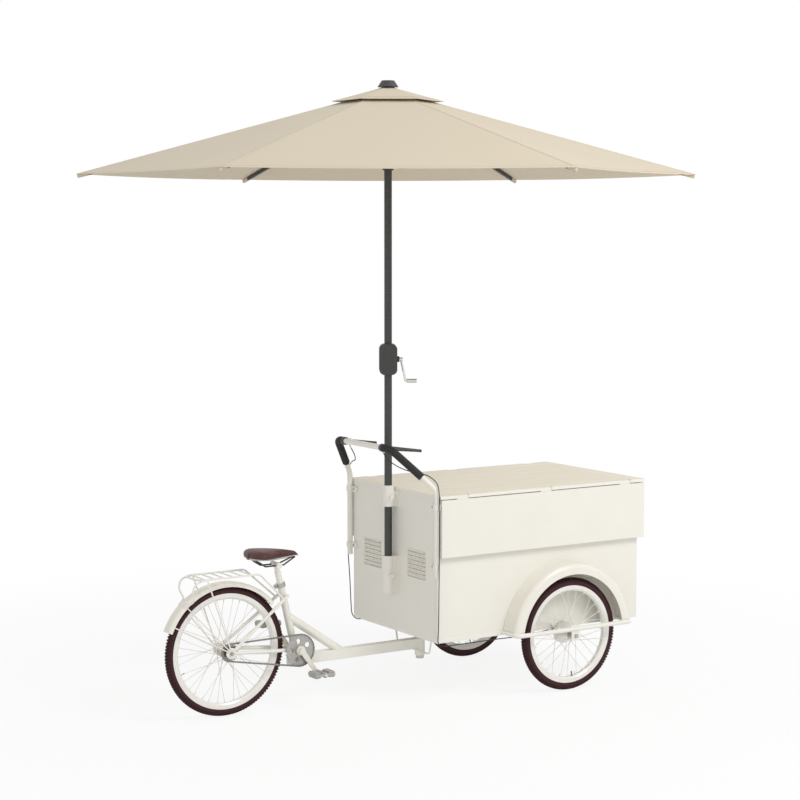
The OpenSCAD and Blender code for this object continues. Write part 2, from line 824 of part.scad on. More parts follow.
// Rear wheel
rear_flange_y = 28;
cog_seat_r = 17;
cog_t = 3;
module rear_tyre() color(TYRE) wheel_at(hub_x, 0, hub_z) tyre(rear_r, rear_tyre_w);
module rear_rim() color(CREAM) wheel_at(hub_x, 0, hub_z) rim(rear_r, rear_tyre_w);
module rear_hub() color(STEEL) wheel_at(hub_x, 0, hub_z) {
    difference() {
        union() {
            for (s = [-1, 1]) translate([0, 0, s * rear_flange_y - flange_t / 2])
                cylinder(h = flange_t, r = flange_r);
            translate([0, 0, -old_half + gap + slip])
                cylinder(h = 2 * old_half - 2 * gap - 2 * slip, r = barrel_r);
            translate([0, 0, rear_flange_y]) cylinder(h = -drive_y - rear_flange_y + cog_t, r = cog_seat_r);
        }
        translate([0, 0, -old_half]) cylinder(h = 2 * old_half, r = rear_axle_r + run);
    }
    spokes(rear_spokes, flange_r - gap, flange_r - gap, rear_flange_y, -rear_flange_y,
           rear_r, rear_tyre_w);
}

// Toothed disc: each gap is a seat for one roller, and opens outwards to let it leave
tooth_h = 3.1;
tooth_flare = 2.1;
seat_slack = 0.35;
seat_r0 = roller_r + seat_slack;
module sprocket(teeth, r, t, phase) {
    linear_extrude(t, center = true) difference() {
        circle(r + tooth_h, $fn = 96);
        for (k = [0:teeth - 1]) rotate(360 * k / teeth + phase) translate([r, 0]) {
            circle(seat_r0, $fn = 24);
            polygon([[0, -roller_r], [tooth_h + cut, -seat_r0 - tooth_flare],
                     [tooth_h + cut, seat_r0 + tooth_flare], [0, roller_r]]);
        }
    }
}
// Share of the chain on the ring and on one straight run, in links
on_ring = ring_teeth * (180 + 2 * wrap(centres)) / 360;
on_run = sqrt(centres * centres - pow(ring_r - cog_r, 2)) / pitch;
on_cog = cog_teeth * (180 - 2 * wrap(centres)) / 360;
// Roller i, in the plane of the sprockets, with the cog at zero and the ring on +X
function roller(i) =
    let (b = wrap(centres), start = -90 - b)
    i < on_ring ? let (a = start + 360 * i / ring_teeth)
        [centres + ring_r * cos(a), ring_r * sin(a)]
    : i < on_ring + on_run ? let (s = (i - on_ring) * pitch, a = 90 + b)
        [centres + ring_r * cos(a) - s * cos(b), ring_r * sin(a) - s * sin(b)]
    : i < on_ring + on_run + on_cog
        ? let (a = 90 + b + 360 * (i - on_ring - on_run) / cog_teeth) [cog_r * cos(a), cog_r * sin(a)]
    : let (s = (i - on_ring - on_run - on_cog) * pitch, a = 270 - b)
        [cog_r * cos(a) + s * cos(b), cog_r * sin(a) - s * sin(b)];
ring_phase = -90 - wrap(centres);
cog_phase = 90 + wrap(centres)
    + 360 * (ceil(on_ring + on_run) - on_ring - on_run) / cog_teeth;
// Frame of the drive: X from the hub to the crank, Z to the rider's right
module drive_plane() {
    translate([hub_x, drive_y, hub_z]) rotate([90, 0, 0]) rotate([0, 0, drive_tilt]) children();
}
module freewheel_cog() color(DARK) drive_plane() difference() {
    sprocket(cog_teeth, cog_r, cog_t, cog_phase);
    translate([0, 0, -cog_t]) cylinder(h = 2 * cog_t, r = cog_seat_r + run);
}

// Roller chain of inner links, which carry the rollers, and outer links, which carry the pins
module link_plates(l, inset) {
    for (s = [inset, -inset - link_t]) translate([0, 0, s]) linear_extrude(link_t) {
        circle(plate_r, $fn = 24);
        translate([l, 0]) circle(plate_r, $fn = 24);
        translate([0, -waist / 2]) square([l, waist]);
    }
}
module inner_link(l) difference() {
    union() {
        link_plates(l, link_in);
        for (x = [0, l]) translate([x, 0, -link_in]) cylinder(h = 2 * link_in, r = roller_r, $fn = 24);
    }
    for (x = [0, l]) translate([x, 0, -link_in * 2])
        cylinder(h = link_in * 4, r = pin_r + run, $fn = 24);
}
module outer_link(l) {
    outset = link_in + link_t + run * 2;
    link_plates(l, outset);
    for (x = [0, l]) translate([x, 0, -outset - link_t])
        cylinder(h = 2 * (outset + link_t), r = pin_r, $fn = 24);
}
module chain() color(DARK) drive_plane()
    for (i = [0:links - 1]) {
        a = roller(i);
        b = roller((i + 1) % links);
        translate([a[0], a[1], 0]) rotate(atan2(b[1] - a[1], b[0] - a[0]))
            if (i % 2 == 0) inner_link(norm(b - a)); else outer_link(norm(b - a));
    }

// Rear frame: beam, head tube, bottom bracket shell, seat tube and sloping brace
brace_top = 150;
brace_r = 19;
brace_foot = 230;
shell_saddle = 30;
module rear_frame() color(CREAM) {
    top = crank_at + brace_top * seat_dir;
    foot = [crank_x + brace_foot, 0, beam_mid + beam_h / 4];
    difference() {
        union() {
            block([crank_x - shell_saddle, -beam_w / 2, beam_mid - beam_h / 2],
                  [pivot_x, beam_w / 2, beam_top]);
            block([crank_x - spindle_r, -beam_w / 2, beam_mid], [crank_x + spindle_r, beam_w / 2, crank_z]);
            translate([pivot_x, 0, head_low]) cylinder(h = head_high - head_low, r = head_r);
            across(crank_x, crank_z, -shell_half, shell_half, shell_r);
            rod(crank_at, seat_top, seat_r);
            rod(top, foot, brace_r);
        }
        translate([pivot_x, 0, head_low - cut])
            cylinder(h = head_high - head_low + 2 * cut, r = king_r + bush_wall + run);
        across(crank_x, crank_z, -shell_half - cut, shell_half + cut, spindle_r + cup_wall + run);
        rod(crank_at + (shell_r + cut) * seat_dir, seat_top + cut * seat_dir, post_r + run);
    }
}

// Bushes of the head tube, cups of the bottom bracket, and the seat clamp
bush_h = 20;
cup_l = 14;
collar_h = 18;
collar_wall = 5;
bolt_r = 3;
bolt_l = 26;
module ring(h, outer, inner) difference() {
    cylinder(h = h, r = outer);
    translate([0, 0, -cut]) cylinder(h = h + 2 * cut, r = inner);
}
module frame_fittings() color(STEEL) {
    for (z = [head_low, head_high - bush_h]) translate([pivot_x, 0, z])
        ring(bush_h, king_r + bush_wall, king_r + run);
    for (y = [-shell_half + cup_l, shell_half]) translate([crank_x, y, crank_z]) rotate([90, 0, 0])
        ring(cup_l, spindle_r + cup_wall, spindle_r + run);
    translate(seat_top - collar_h * seat_dir) rotate([0, -seat_lean, 0]) {
        ring(collar_h, seat_r + collar_wall, seat_r + run);
        translate([-seat_r - collar_wall * 2, bolt_l / 2, collar_h / 2]) rotate([90, 0, 0])
            cylinder(h = bolt_l, r = bolt_r);
        block([-seat_r - collar_wall * 3, -collar_wall, 0],
              [-seat_r - collar_wall / 2, collar_wall, collar_h]);
    }
}

// Seat stays and chain stays with their dropouts
stay_down = 58;
stay_over = 10;
bridge_r = 6;
chain_stay_in = 26;
chain_stay_r = 8;
drop_r = 24;
stay_stop = 20;
bridge_at = seat_top - stay_down * seat_dir;
seat_stay_top = [bridge_at[0], stay_in, bridge_at[2]];
chain_stay_front = [crank_x, chain_stay_in, crank_z];
drop_at = [hub_x, stay_out, hub_z];
stay_dir = unit(seat_stay_top - drop_at);
module rear_stays() color(CREAM) difference() {
    union() {
        across(bridge_at[0], bridge_at[2], -stay_in, stay_in, bridge_r);
        both_sides() {
            rod(seat_stay_top + stay_over * stay_dir, drop_at + stay_stop * stay_dir, stay_r);
            rod(chain_stay_front, drop_at + stay_stop * unit(chain_stay_front - drop_at), chain_stay_r);
            across(hub_x, hub_z, stay_out - drop_t / 2, stay_out + drop_t / 2, drop_r);
        }
    }
    rod(crank_at, seat_top, seat_r + run);
    across(crank_x, crank_z, -stay_out, stay_out, shell_r + run);
    across(hub_x, hub_z, -2 * stay_out, 2 * stay_out, rear_axle_r + run);
}

// Rear axle with lock nuts inside the dropouts and axle nuts outside them
module rear_axle() color(STEEL) {
    across(hub_x, hub_z, -stay_out - nut_t * 2, stay_out + nut_t * 2, rear_axle_r);
    both_sides() {
        across(hub_x, hub_z, stay_out + drop_t / 2, stay_out + drop_t / 2 + nut_t, nut_r, $fn = 6);
        across(hub_x, hub_z, old_half - gap, old_half, nut_r);
    }
}

// Rear mudguard with two pairs of wire stays
guard_r = 298;
guard_half = 30;
guard_skirt = 20;
guard_corner = 14;
guard_start_angle = 40;
guard_end_angle = 158;
guard_t = 2.5;
guard_stay_r = 2.5;
guard_stay_angles = [132, 152];
guard_hold_share = 0.8;
eyelet_gap = 1;
eyelet_r = 18;
module rear_fender() color(CREAM) {
    translate([hub_x, 0, hub_z]) rotate([90, 0, 0]) rotate([0, 0, guard_start_angle])
        rotate_extrude(angle = guard_end_angle - guard_start_angle) {
            fender_profile(guard_r, 0, guard_half, guard_corner, guard_skirt, guard_t);
            mirror([0, 1]) fender_profile(guard_r, 0, guard_half, guard_corner, guard_skirt, guard_t);
        }
    hold = guard_r - guard_skirt * guard_hold_share;
    both_sides() for (a = guard_stay_angles)
        rod([hub_x + eyelet_r * cos(a), stay_out + drop_t / 2 + guard_stay_r + eyelet_gap,
             hub_z + eyelet_r * sin(a)],
            [hub_x + hold * cos(a), guard_half - guard_t / 2, hub_z + hold * sin(a)], guard_stay_r);
}

// Wire carrier over the rear wheel
rack_z = 606;
rack_half = 70;
rack_front_in = 150;
rack_l = 290;
rack_wire_r = 4;
rack_bend = 40;
rack_cross_r = 3;
rack_wires = 6;
rack_wire_in = 36;
rack_leg_in = 43;
rack_leg_r = 3.2;
rack_leg_angle = 110;
rack_foot_share = 0.05;
rack_front = bridge_at[0] - rack_front_in;
rack_rear = rack_front - rack_l;
module rear_rack() color(CREAM) {
    foot = seat_stay_top + rack_foot_share * (drop_at - seat_stay_top);
    difference() {
        bent_rod([
            other(foot), [rack_front, -rack_half, rack_z], [rack_rear, -rack_half, rack_z],
            [rack_rear, rack_half, rack_z], [rack_front, rack_half, rack_z], foot],
            rack_bend, rack_wire_r);
        both_sides() rod(seat_stay_top, drop_at, stay_r + run);
    }
    for (i = [0:rack_wires - 1])
        across(rack_rear + rack_wire_in + i * (rack_l - 2 * rack_wire_in) / (rack_wires - 1),
               rack_z, -rack_half, rack_half, rack_cross_r);
    both_sides()
        rod([rack_rear + rack_leg_in, rack_half, rack_z],
            [hub_x + eyelet_r * cos(rack_leg_angle), stay_out + drop_t / 2 + rack_leg_r + slip,
             hub_z + eyelet_r * sin(rack_leg_angle)], rack_leg_r);
}

// Crankset: chainring, spindle, two arms and the pedals' spindles
crank_to = [cos(crank_angle), 0, sin(crank_angle)];
arm_boss = 2;
pedal_in = 14;
spider_r = 20;
ring_t = 3;
window_r = 11;
window_at_share = 0.6;
windows = 5;
module crank_arm(y0, to) {
    across(crank_x, crank_z, y0 - arm_boss, y0 + arm_t + arm_boss, arm_w / 2 + gap);
    across(crank_x + crank_l * to[0], crank_z + crank_l * to[2], y0, y0 + arm_t, arm_w / 2 - gap);
    translate([crank_x, y0 + arm_t, crank_z]) rotate([90, 0, 0])
        rotate([0, 0, atan2(to[2], to[0])]) linear_extrude(arm_t)
            polygon([[0, -arm_w / 2], [crank_l, -arm_w / 3], [crank_l, arm_w / 3], [0, arm_w / 2]]);
}
module crankset() color(STEEL) {
    across(crank_x, crank_z, -arm_y - arm_t / 2, arm_y + arm_t / 2, spindle_r);
    crank_arm(-arm_y - arm_t, crank_to);
    crank_arm(arm_y, -crank_to);
    union() {
        translate([crank_x, drive_y, crank_z]) rotate([90, 0, 0]) rotate([0, 0, drive_tilt])
            difference() {
                sprocket(ring_teeth, ring_r, ring_t, ring_phase);
                for (k = [0:windows - 1]) rotate(180 * (2 * k + 1) / windows)
                    translate([ring_r * window_at_share, 0, -ring_t])
                        cylinder(h = 2 * ring_t, r = window_r);
            }
    }
    across(crank_x, crank_z, -arm_y, drive_y, spider_r);
    for (s = [-1, 1]) {
        at = crank_at - s * crank_l * crank_to;
        y = s * (arm_y + arm_t);
        end = y + s * (pedal_w + pedal_in);
        across(at[0], at[2], min(y, end), max(y, end), pedal_pin_r);
    }
}

// Left pedal: a barrel between two rubber blocks, with end plates
pedal_bar = 26;
pedal_plate = 6;
module pedal(at, y0) color(STEEL) translate([at[0], y0, at[2]]) difference() {
    union() {
        across(0, 0, 0, pedal_w, pedal_h / 2);
        for (s = [-1, 1]) {
            x = s * (pedal_l - pedal_bar) / 2;
            block([x - pedal_bar / 2, pedal_plate, -pedal_h / 2],
                  [x + pedal_bar / 2, pedal_w - pedal_plate, pedal_h / 2]);
        }
        for (y = [0, pedal_w - pedal_plate])
            block([-pedal_l / 2, y, -pedal_h / 4], [pedal_l / 2, y + pedal_plate, pedal_h / 4]);
    }
    across(0, 0, -cut, pedal_w + cut, pedal_pin_r + run);
}
module left_pedal() pedal(crank_at - crank_l * crank_to, arm_y + arm_t + pedal_in / 2);
module right_pedal() pedal(crank_at + crank_l * crank_to, -arm_y - arm_t - pedal_in / 2 - pedal_w);

// Seat post, with its neck and the clamp that holds the saddle's rails
post_in = 180;
post_out = 52;
neck_r = 11;
clamp_r = 13;
clamp_half = 32;
clamp_back = 7;
module seat_post() color(CREAM) {
    top = seat_top + post_out * seat_dir;
    clamp_x = top[0] - clamp_back;
    rod(seat_top - post_in * seat_dir, top, post_r);
    rod(top - neck_r * seat_dir, [clamp_x, 0, rail_z], neck_r);
    difference() {
        across(clamp_x, rail_z, -clamp_half, clamp_half, clamp_r);
        for (s = [-1, 1])
            translate([clamp_x - saddle_l / 2, s * rail_y, rail_z]) rotate([0, 90, 0])
                cylinder(h = saddle_l, r = rail_r + run);
    }
}

// Saddle: cross-sections along its length, wide behind and narrow at the nose
saddle_rings = 22;
saddle_sides = 20;
saddle_back_x = saddle_x - saddle_l;
saddle_nose_share = 0.17;
saddle_shoulder_share = 0.46;
saddle_taper = 4.2;
saddle_back_share = 0.16;
saddle_tip_share = 0.1;
saddle_blunt_share = 0.03;
saddle_fall_share = 0.36;
saddle_tail_share = 0.25;
saddle_beak_share = 0.35;
saddle_edge_share = 0.78;
saddle_waist_share = 0.42;
saddle_tuck_share = 0.2;
saddle_full = 0.8;
// Half width, top height and underside of the saddle, t from the back to the nose
function saddle_half(t) = let (
        body = saddle_nose_share
            + (1 - saddle_nose_share) / (1 + pow(t / saddle_shoulder_share, saddle_taper)),
        back = max(saddle_blunt_share, 1 - pow(1 - min(1, t / saddle_back_share), 2)),
        nose = max(saddle_blunt_share, 1 - pow(max(0, (t - 1) / saddle_tip_share + 1), 2)))
    saddle_w / 2 * body * sqrt(back * nose);
function saddle_top(t) = saddle_z - saddle_h * (saddle_fall_share * pow(max(0, t - saddle_back_share), 2)
    + saddle_tail_share * pow(max(0, 1 - t / saddle_back_share), 2)
    + saddle_beak_share * pow(max(0, (t - 1) / saddle_tip_share + 1), 2));
function saddle_low(t) = saddle_z
    - saddle_h * (saddle_edge_share + (1 - saddle_edge_share) * sin(180 * t));
function saddle_point(t, a) =
    let (w = saddle_half(t), top = saddle_top(t), low = saddle_low(t),
         mid = low + (top - low) * saddle_waist_share, c = cos(a), s = sin(a))
    [saddle_back_x + t * saddle_l,
     w * sign(c) * pow(abs(c), saddle_full) * (s < 0 ? 1 - saddle_tuck_share * s * s : 1),
     s > 0 ? mid + (top - mid) * pow(s, saddle_full) : mid + (mid - low) * s];
module saddle() color(LEATHER) {
    points = [for (i = [0:saddle_rings], k = [0:saddle_sides - 1])
        saddle_point(i / saddle_rings, 180 * (2 * k + 1) / saddle_sides)];
    walls = [for (i = [0:saddle_rings - 1], k = [0:saddle_sides - 1])
        let (a = i * saddle_sides + k, b = i * saddle_sides + (k + 1) % saddle_sides)
        each [[a, b + saddle_sides, b], [a, a + saddle_sides, b + saddle_sides]]];
    top = saddle_rings * saddle_sides;
    back = [for (k = [1:saddle_sides - 2]) [0, k, k + 1]];
    front = [for (k = [1:saddle_sides - 2]) [top, top + k + 1, top + k]];
    polyhedron(points = points, faces = concat(walls, back, front));
}

// Wire frame under the saddle: two rails joined behind and at the nose
rail_bend = 12;
rail_back_share = 0.14;
rail_fore_share = 0.9;
rail_flat_shares = [0.3, 0.66];
rail_splay = 30;
rail_nose_y = 9;
rail_nose_l = 12;
module saddle_rails() color(RUBBER) {
    back = saddle_back_x + saddle_l * rail_back_share;
    nose = saddle_back_x + saddle_l * rail_fore_share;
    lift = saddle_low(rail_back_share) - rail_r - slip;
    fore = saddle_low(rail_fore_share) - rail_r - slip;
    flat = [for (s = rail_flat_shares) saddle_back_x + saddle_l * s];
    side = [[nose, rail_nose_y, fore], [flat[1], rail_y, rail_z],
            [flat[0], rail_y, rail_z], [back, rail_splay, lift]];
    bent_rod(concat([for (p = side) other(p)], [for (i = [3:-1:0]) side[i]]), rail_bend, rail_r);
    block([nose - rail_nose_l / 2, -rail_nose_y, fore - rail_r + slip],
          [nose + rail_nose_l / 2, rail_nose_y, fore + rail_r]);
}

// Pole
module umbrella_pole() color(DARK) translate([0, 0, pole_low])
    cylinder(h = pole_high - pole_low, r = pole_r);

// Crown: a hub with a slot and a pin for each rib, and the finial on top
crown_h = 30;
crown_core = 22;
crown_out = 46;
slot_w = rib_w + 2 * slip;
finial_h = 28;
finial_low_r = 46;
finial_high_r = 28;
module crown_ears(z, h, out, pin) {
    difference() {
        translate([0, 0, z - h / 2]) cylinder(h = h, r = out);
        for (k = [0:ribs - 1]) rotate(first_rib_angle + 360 * k / ribs)
            block([crown_core, -slot_w / 2, z - h], [out + cut, slot_w / 2, z + h]);
        translate([0, 0, z - h]) cylinder(h = 2 * h, r = pole_r + run);
    }
    if (pin > 0) for (k = [0:ribs - 1]) rotate(first_rib_angle + 360 * k / ribs)
        across(crown_r, z, -slot_w, slot_w, pin);
}
module umbrella_crown() color(DARK) {
    crown_ears(crown_z, crown_h, crown_out, eye_pin_r);
    difference() {
        translate([0, 0, finial_z]) cylinder(h = finial_h, r1 = finial_low_r, r2 = finial_high_r);
        translate([0, 0, finial_z - cut]) cylinder(h = pole_high - finial_z + cut + slip, r = pole_r + run);
    }
}

// Runner that the struts meet; their pivots there are left open
module runner() color(DARK) {
    crown_ears(runner_z, crown_h, crown_out + gap * 2, 0);
    translate([0, 0, runner_z - crown_h]) difference() {
        cylinder(h = crown_h, r = crown_core + gap);
        translate([0, 0, -cut]) cylinder(h = crown_h + 2 * cut, r = pole_r + slip);
    }
}

// Rib along +X before it is turned to its place, with an eye at the crown
module rib(k) color(DARK) rotate(first_rib_angle + 360 * (k - 1) / ribs)
    translate([crown_r, 0, crown_z]) rotate([0, rib_tilt, 0]) {
        pin_half = rib_w / 2 + slip + strut_ear + pin_proud;
        difference() {
            union() {
                block([0, -rib_w / 2, -rib_h / 2], [rib_l, rib_w / 2, rib_h / 2]);
                across(0, 0, -rib_w / 2, rib_w / 2, eye_r);
                across(strut_at, -rib_h, -rib_w / 2, rib_w / 2, eye_r);
                block([strut_at - eye_r, -rib_w / 2, -rib_h], [strut_at + eye_r, rib_w / 2, 0]);
            }
            across(0, 0, -rib_w, rib_w, eye_pin_r + run);
        }
        across(strut_at, -rib_h, -pin_half, pin_half, eye_pin_r);
    }

// Strut: a fork that straddles the rib, then one flat bar down to the runner
module strut(k) color(DARK) rotate(first_rib_angle + 360 * (k - 1) / ribs)
    translate([strut_r0, 0, strut_z0]) rotate([0, -strut_tilt, 0]) mirror([1, 0, 0]) {
        fork = strut_l * fork_share;
        wide = rib_w / 2 + slip + strut_ear;
        difference() {
            union() {
                for (s = [-1, 1]) {
                    y = s * (wide - strut_ear / 2);
                    block([0, y - strut_ear / 2, -strut_h / 2], [fork, y + strut_ear / 2, strut_h / 2]);
                    across(0, 0, y - strut_ear / 2, y + strut_ear / 2, strut_h / 2);
                }
                block([fork - fork_t, -wide, -strut_h / 2], [fork, wide, strut_h / 2]);
                block([fork - cut, -strut_w / 2, -strut_h / 2], [strut_l, strut_w / 2, strut_h / 2]);
            }
            across(0, 0, -2 * wide, 2 * wide, eye_pin_r + run);
        }
    }
module rib_1() rib(1);
module rib_2() rib(2);
module rib_3() rib(3);
module rib_4() rib(4);
module rib_5() rib(5);
module rib_6() rib(6);
module strut_1() strut(1);
module strut_2() strut(2);
module strut_3() strut(3);
module strut_4() strut(4);
module strut_5() strut(5);
module strut_6() strut(6);

// Canopy: six gores that sag a little between the ribs, and a vent cap above them
cloth_in = (pole_r + slip) / cos(180 / ribs);
gore_rings = 8;
gore_steps = 6;
gore_sag = 26;
hem_in = 14;
cap_r = 245;
cap_rings = 3;
sag_share = 0.85;
// Point of the cloth, s from the pole to the rim and u round one turn in gores
function cloth(s, u, reach, sag, lift) =
    let (g = floor(u), f = u - g, bow = 4 * f * (1 - f),
         turn = first_rib_angle + 360 * g / ribs, next = turn + 360 / ribs,
         a = [cos(turn), sin(turn)], b = [cos(next), sin(next)],
         r = cloth_in + s * (reach - cloth_in),
         flat = (r - hem_in * bow * s * s) * ((1 - f) * a + f * b),
         fall = (apex_z - rim_z) * (r - cloth_in) / (rim_r - cloth_in))
    [flat[0], flat[1], apex_z + lift - fall - sag * bow * sin(180 * s * sag_share) * s];
module cloth_shell(reach, rings, sag, lift) {
    turns = ribs * gore_steps;
    layer = (rings + 1) * turns;
    points = [for (t = [0, cloth_t], i = [0:rings], k = [0:turns - 1])
        cloth(i / rings, k / gore_steps, reach, sag, lift + t)];
    sheet = [for (t = [0, 1], i = [0:rings - 1], k = [0:turns - 1])
        let (o = t * layer + i * turns, n = (k + 1) % turns,
             q = [o + k, o + n, o + turns + n, o + turns + k])
        each t == 0 ? [[q[0], q[1], q[2]], [q[0], q[2], q[3]]] : [[q[0], q[2], q[1]], [q[0], q[3], q[2]]]];
    edge = [for (i = [0, rings], k = [0:turns - 1])
        let (o = i * turns, n = (k + 1) % turns, q = [o + k, o + n, layer + o + n, layer + o + k])
        each i == 0 ? [[q[0], q[2], q[1]], [q[0], q[3], q[2]]] : [[q[0], q[1], q[2]], [q[0], q[2], q[3]]]];
    polyhedron(points = points, faces = concat(sheet, edge));
}
module canopy() color(CLOTH) {
    cloth_shell(rim_r, gore_rings, gore_sag, 0);
    cloth_shell(cap_r, cap_rings, 0, cap_lift);
}

// Winder housing: a capsule round the pole, with a boss for the crank's spindle
winder_corner = 24;
boss_r = 13;
boss_l = 10;
crank_pin_r = 5;
module winder_frame() {
    translate([0, 0, winder_z]) rotate([0, 0, winder_angle]) children();
}
module winder_housing() color(DARK) winder_frame() difference() {
    union() {
        translate([0, winder_d / 2, 0]) rotate([90, 0, 0]) linear_extrude(winder_d) {
            for (x = [-1, 1], z = [-1, 1])
                translate([x * (winder_w / 2 - winder_corner), z * (winder_h / 2 - winder_corner)])
                    circle(winder_corner);
            square([winder_w, winder_h - 2 * winder_corner], center = true);
            square([winder_w - 2 * winder_corner, winder_h], center = true);
        }
        rotate([0, 90, 0]) cylinder(h = winder_w / 2 + boss_l, r = boss_r);
    }
    translate([0, 0, -winder_h]) cylinder(h = 2 * winder_h, r = pole_r + run);
    translate([pole_r + gap, 0, 0]) rotate([0, 90, 0]) cylinder(h = winder_w, r = crank_pin_r + run);
}

// Winder crank: spindle, dog-leg arm and knob
winder_arm = 96;
winder_lean = 20;
winder_arm_r = 5;
winder_boss_r = 8;
winder_boss_l = 14;
knob_pin_r = 4;
knob_r = 9;
knob_l = 44;
module winder_crank() color(STEEL) winder_frame() {
    out = winder_w / 2 + boss_l + slip;
    hub_at = [out + winder_boss_l / 2, 0, 0];
    low = hub_at + [winder_lean, 0, -winder_arm];
    rod([pole_r + gap + slip, 0, 0], [out + winder_boss_l / 2, 0, 0], crank_pin_r);
    translate([out, 0, 0]) rotate([0, 90, 0]) cylinder(h = winder_boss_l, r = winder_boss_r);
    rod(hub_at, low, winder_arm_r);
    rod(low - [winder_arm_r, 0, 0], low + [winder_arm_r * 2, 0, 0], knob_pin_r);
    translate(low + [winder_arm_r, 0, 0]) rotate([0, 90, 0]) cylinder(h = knob_l, r = knob_r);
}

chassis_frame();
kingpin();
box_floor();
rear_panel();
cabinet_shell();
worktop();
flap_hinges();
handlebar();
grips();
lever_clamps();
brake_cables();
wheel_carriers();
front_axles();
front_fenders();
umbrella_holder();
right_front_tyre();
right_front_rim();
right_front_hub();
left_front_tyre();
left_front_rim();
left_front_hub();
right_brake_lever();
left_brake_lever();
right_flap();
left_flap();
rear_frame();
rear_stays();
rear_axle();
rear_fender();
rear_rack();
chain();
frame_fittings();
rear_tyre();
rear_rim();
rear_hub();
freewheel_cog();
crankset();
right_pedal();
left_pedal();
seat_post();
saddle();
saddle_rails();
umbrella_pole();
umbrella_crown();
canopy();
runner();
winder_housing();
winder_crank();
rib_1();
rib_2();
rib_3();
rib_4();
rib_5();
rib_6();
strut_1();
strut_2();
strut_3();
strut_4();
strut_5();
strut_6();
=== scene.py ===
import json
import math

import bmesh
import bpy
from mathutils import Matrix, Vector


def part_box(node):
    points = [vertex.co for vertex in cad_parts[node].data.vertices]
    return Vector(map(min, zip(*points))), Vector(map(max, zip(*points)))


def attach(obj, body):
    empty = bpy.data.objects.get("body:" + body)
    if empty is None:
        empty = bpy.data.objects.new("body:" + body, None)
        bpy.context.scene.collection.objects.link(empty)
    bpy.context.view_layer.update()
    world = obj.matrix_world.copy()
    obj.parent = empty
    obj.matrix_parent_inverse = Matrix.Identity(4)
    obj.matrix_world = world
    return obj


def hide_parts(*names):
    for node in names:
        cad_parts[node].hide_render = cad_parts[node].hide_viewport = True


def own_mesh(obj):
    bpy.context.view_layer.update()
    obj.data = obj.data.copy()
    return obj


# Looks of the bicycle food cart, in metres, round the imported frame
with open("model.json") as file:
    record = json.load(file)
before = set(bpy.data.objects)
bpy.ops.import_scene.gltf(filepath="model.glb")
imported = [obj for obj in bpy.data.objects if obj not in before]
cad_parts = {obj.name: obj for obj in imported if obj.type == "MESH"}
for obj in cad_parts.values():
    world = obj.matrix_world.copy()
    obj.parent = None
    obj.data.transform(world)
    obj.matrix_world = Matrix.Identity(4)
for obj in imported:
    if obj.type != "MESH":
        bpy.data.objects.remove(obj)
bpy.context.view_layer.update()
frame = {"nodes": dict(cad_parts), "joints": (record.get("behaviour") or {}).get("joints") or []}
NODES = frame["nodes"]
JOINTS = {j["name"]: j for j in frame["joints"]}
MM = 0.001


# Shared helpers

def linear(code):
    """Linear colour of an sRGB hex value."""
    parts = [int(code[i:i + 2], 16) / 255 for i in (1, 3, 5)]
    return (*[c / 12.92 if c <= 0.04045 else ((c + 0.055) / 1.055) ** 2.4 for c in parts], 1.0)


def add(tree, kind, into=None, **settings):
    """Adds a node. into gives its inputs: a value, a socket, or a node for its first socket."""
    made = tree.nodes.new(kind)
    for key, value in settings.items():
        setattr(made, key, value)
    for key, value in (into or {}).items():
        if isinstance(value, bpy.types.Node):
            value = value.outputs[0]
        if isinstance(value, bpy.types.NodeSocket):
            tree.links.new(value, made.inputs[key])
        else:
            made.inputs[key].default_value = value
    return made


def placed(mesh):
    """A new object at the origin for a mesh."""
    made = bpy.data.objects.new(mesh.name, mesh)
    bpy.context.scene.collection.objects.link(made)
    return made


def piece(name, points, faces, *materials, closed=True):
    """A new smooth mesh object with its place in its points. A closed one faces outwards."""
    mesh = bpy.data.meshes.new(name)
    mesh.from_pydata([tuple(p) for p in points], [], [tuple(f) for f in faces])
    if closed:
        work = bmesh.new()
        work.from_mesh(mesh)
        bmesh.ops.recalc_face_normals(work, faces=work.faces)
        work.to_mesh(mesh)
        work.free()
    mesh.polygons.foreach_set("use_smooth", [True] * len(mesh.polygons))
    for m in materials:
        mesh.materials.append(m)
    mesh.update()
    return placed(mesh)


def centre(node):
    """Middle of a CAD node's box."""
    low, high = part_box(node)
    return (low + high) / 2


def mirrored(p):
    """The same place on the other side of the cart."""
    return Vector((p[0], -p[1], p[2]))


def circle(n, shift=0.0):
    """Cosine and sine of n angles evenly round a circle."""
    return [(math.cos(a), math.sin(a)) for a in (2 * math.pi * (k + shift) / n for k in range(n))]


def grid_faces(rows, cols, wrap=False, first=0, ring=False):
    """Quads of a grid of points. wrap closes it round its columns, and ring round its rows."""
    last = cols if wrap else cols - 1
    stop = rows if ring else rows - 1
    return [(first + i * cols + k, first + i * cols + (k + 1) % cols,
             first + (i + 1) % rows * cols + (k + 1) % cols, first + (i + 1) % rows * cols + k)
            for i in range(stop) for k in range(last)]


def tube_faces(rows, sides, first=0):
    """Faces of a tube of points, rows by sides, with its two ends."""
    ends = [tuple(first + row * sides + k for k in range(sides)) for row in (0, rows - 1)]
    return grid_faces(rows, sides, True, first) + ends


def turned(name, spots, profile, material, sides=14):
    """One mesh of like turned pieces, each at a spot (place, direction). profile gives (run, radius)."""
    points, faces = [], []
    for at, aim in spots:
        aim = Vector(aim).normalized()
        side = aim.orthogonal().normalized()
        up = aim.cross(side)
        faces += tube_faces(len(profile), sides, len(points))
        points += [Vector(at) + aim * run + (side * c + up * s) * r
                   for run, r in profile for c, s in circle(sides)]
    return piece(name, points, faces, material)


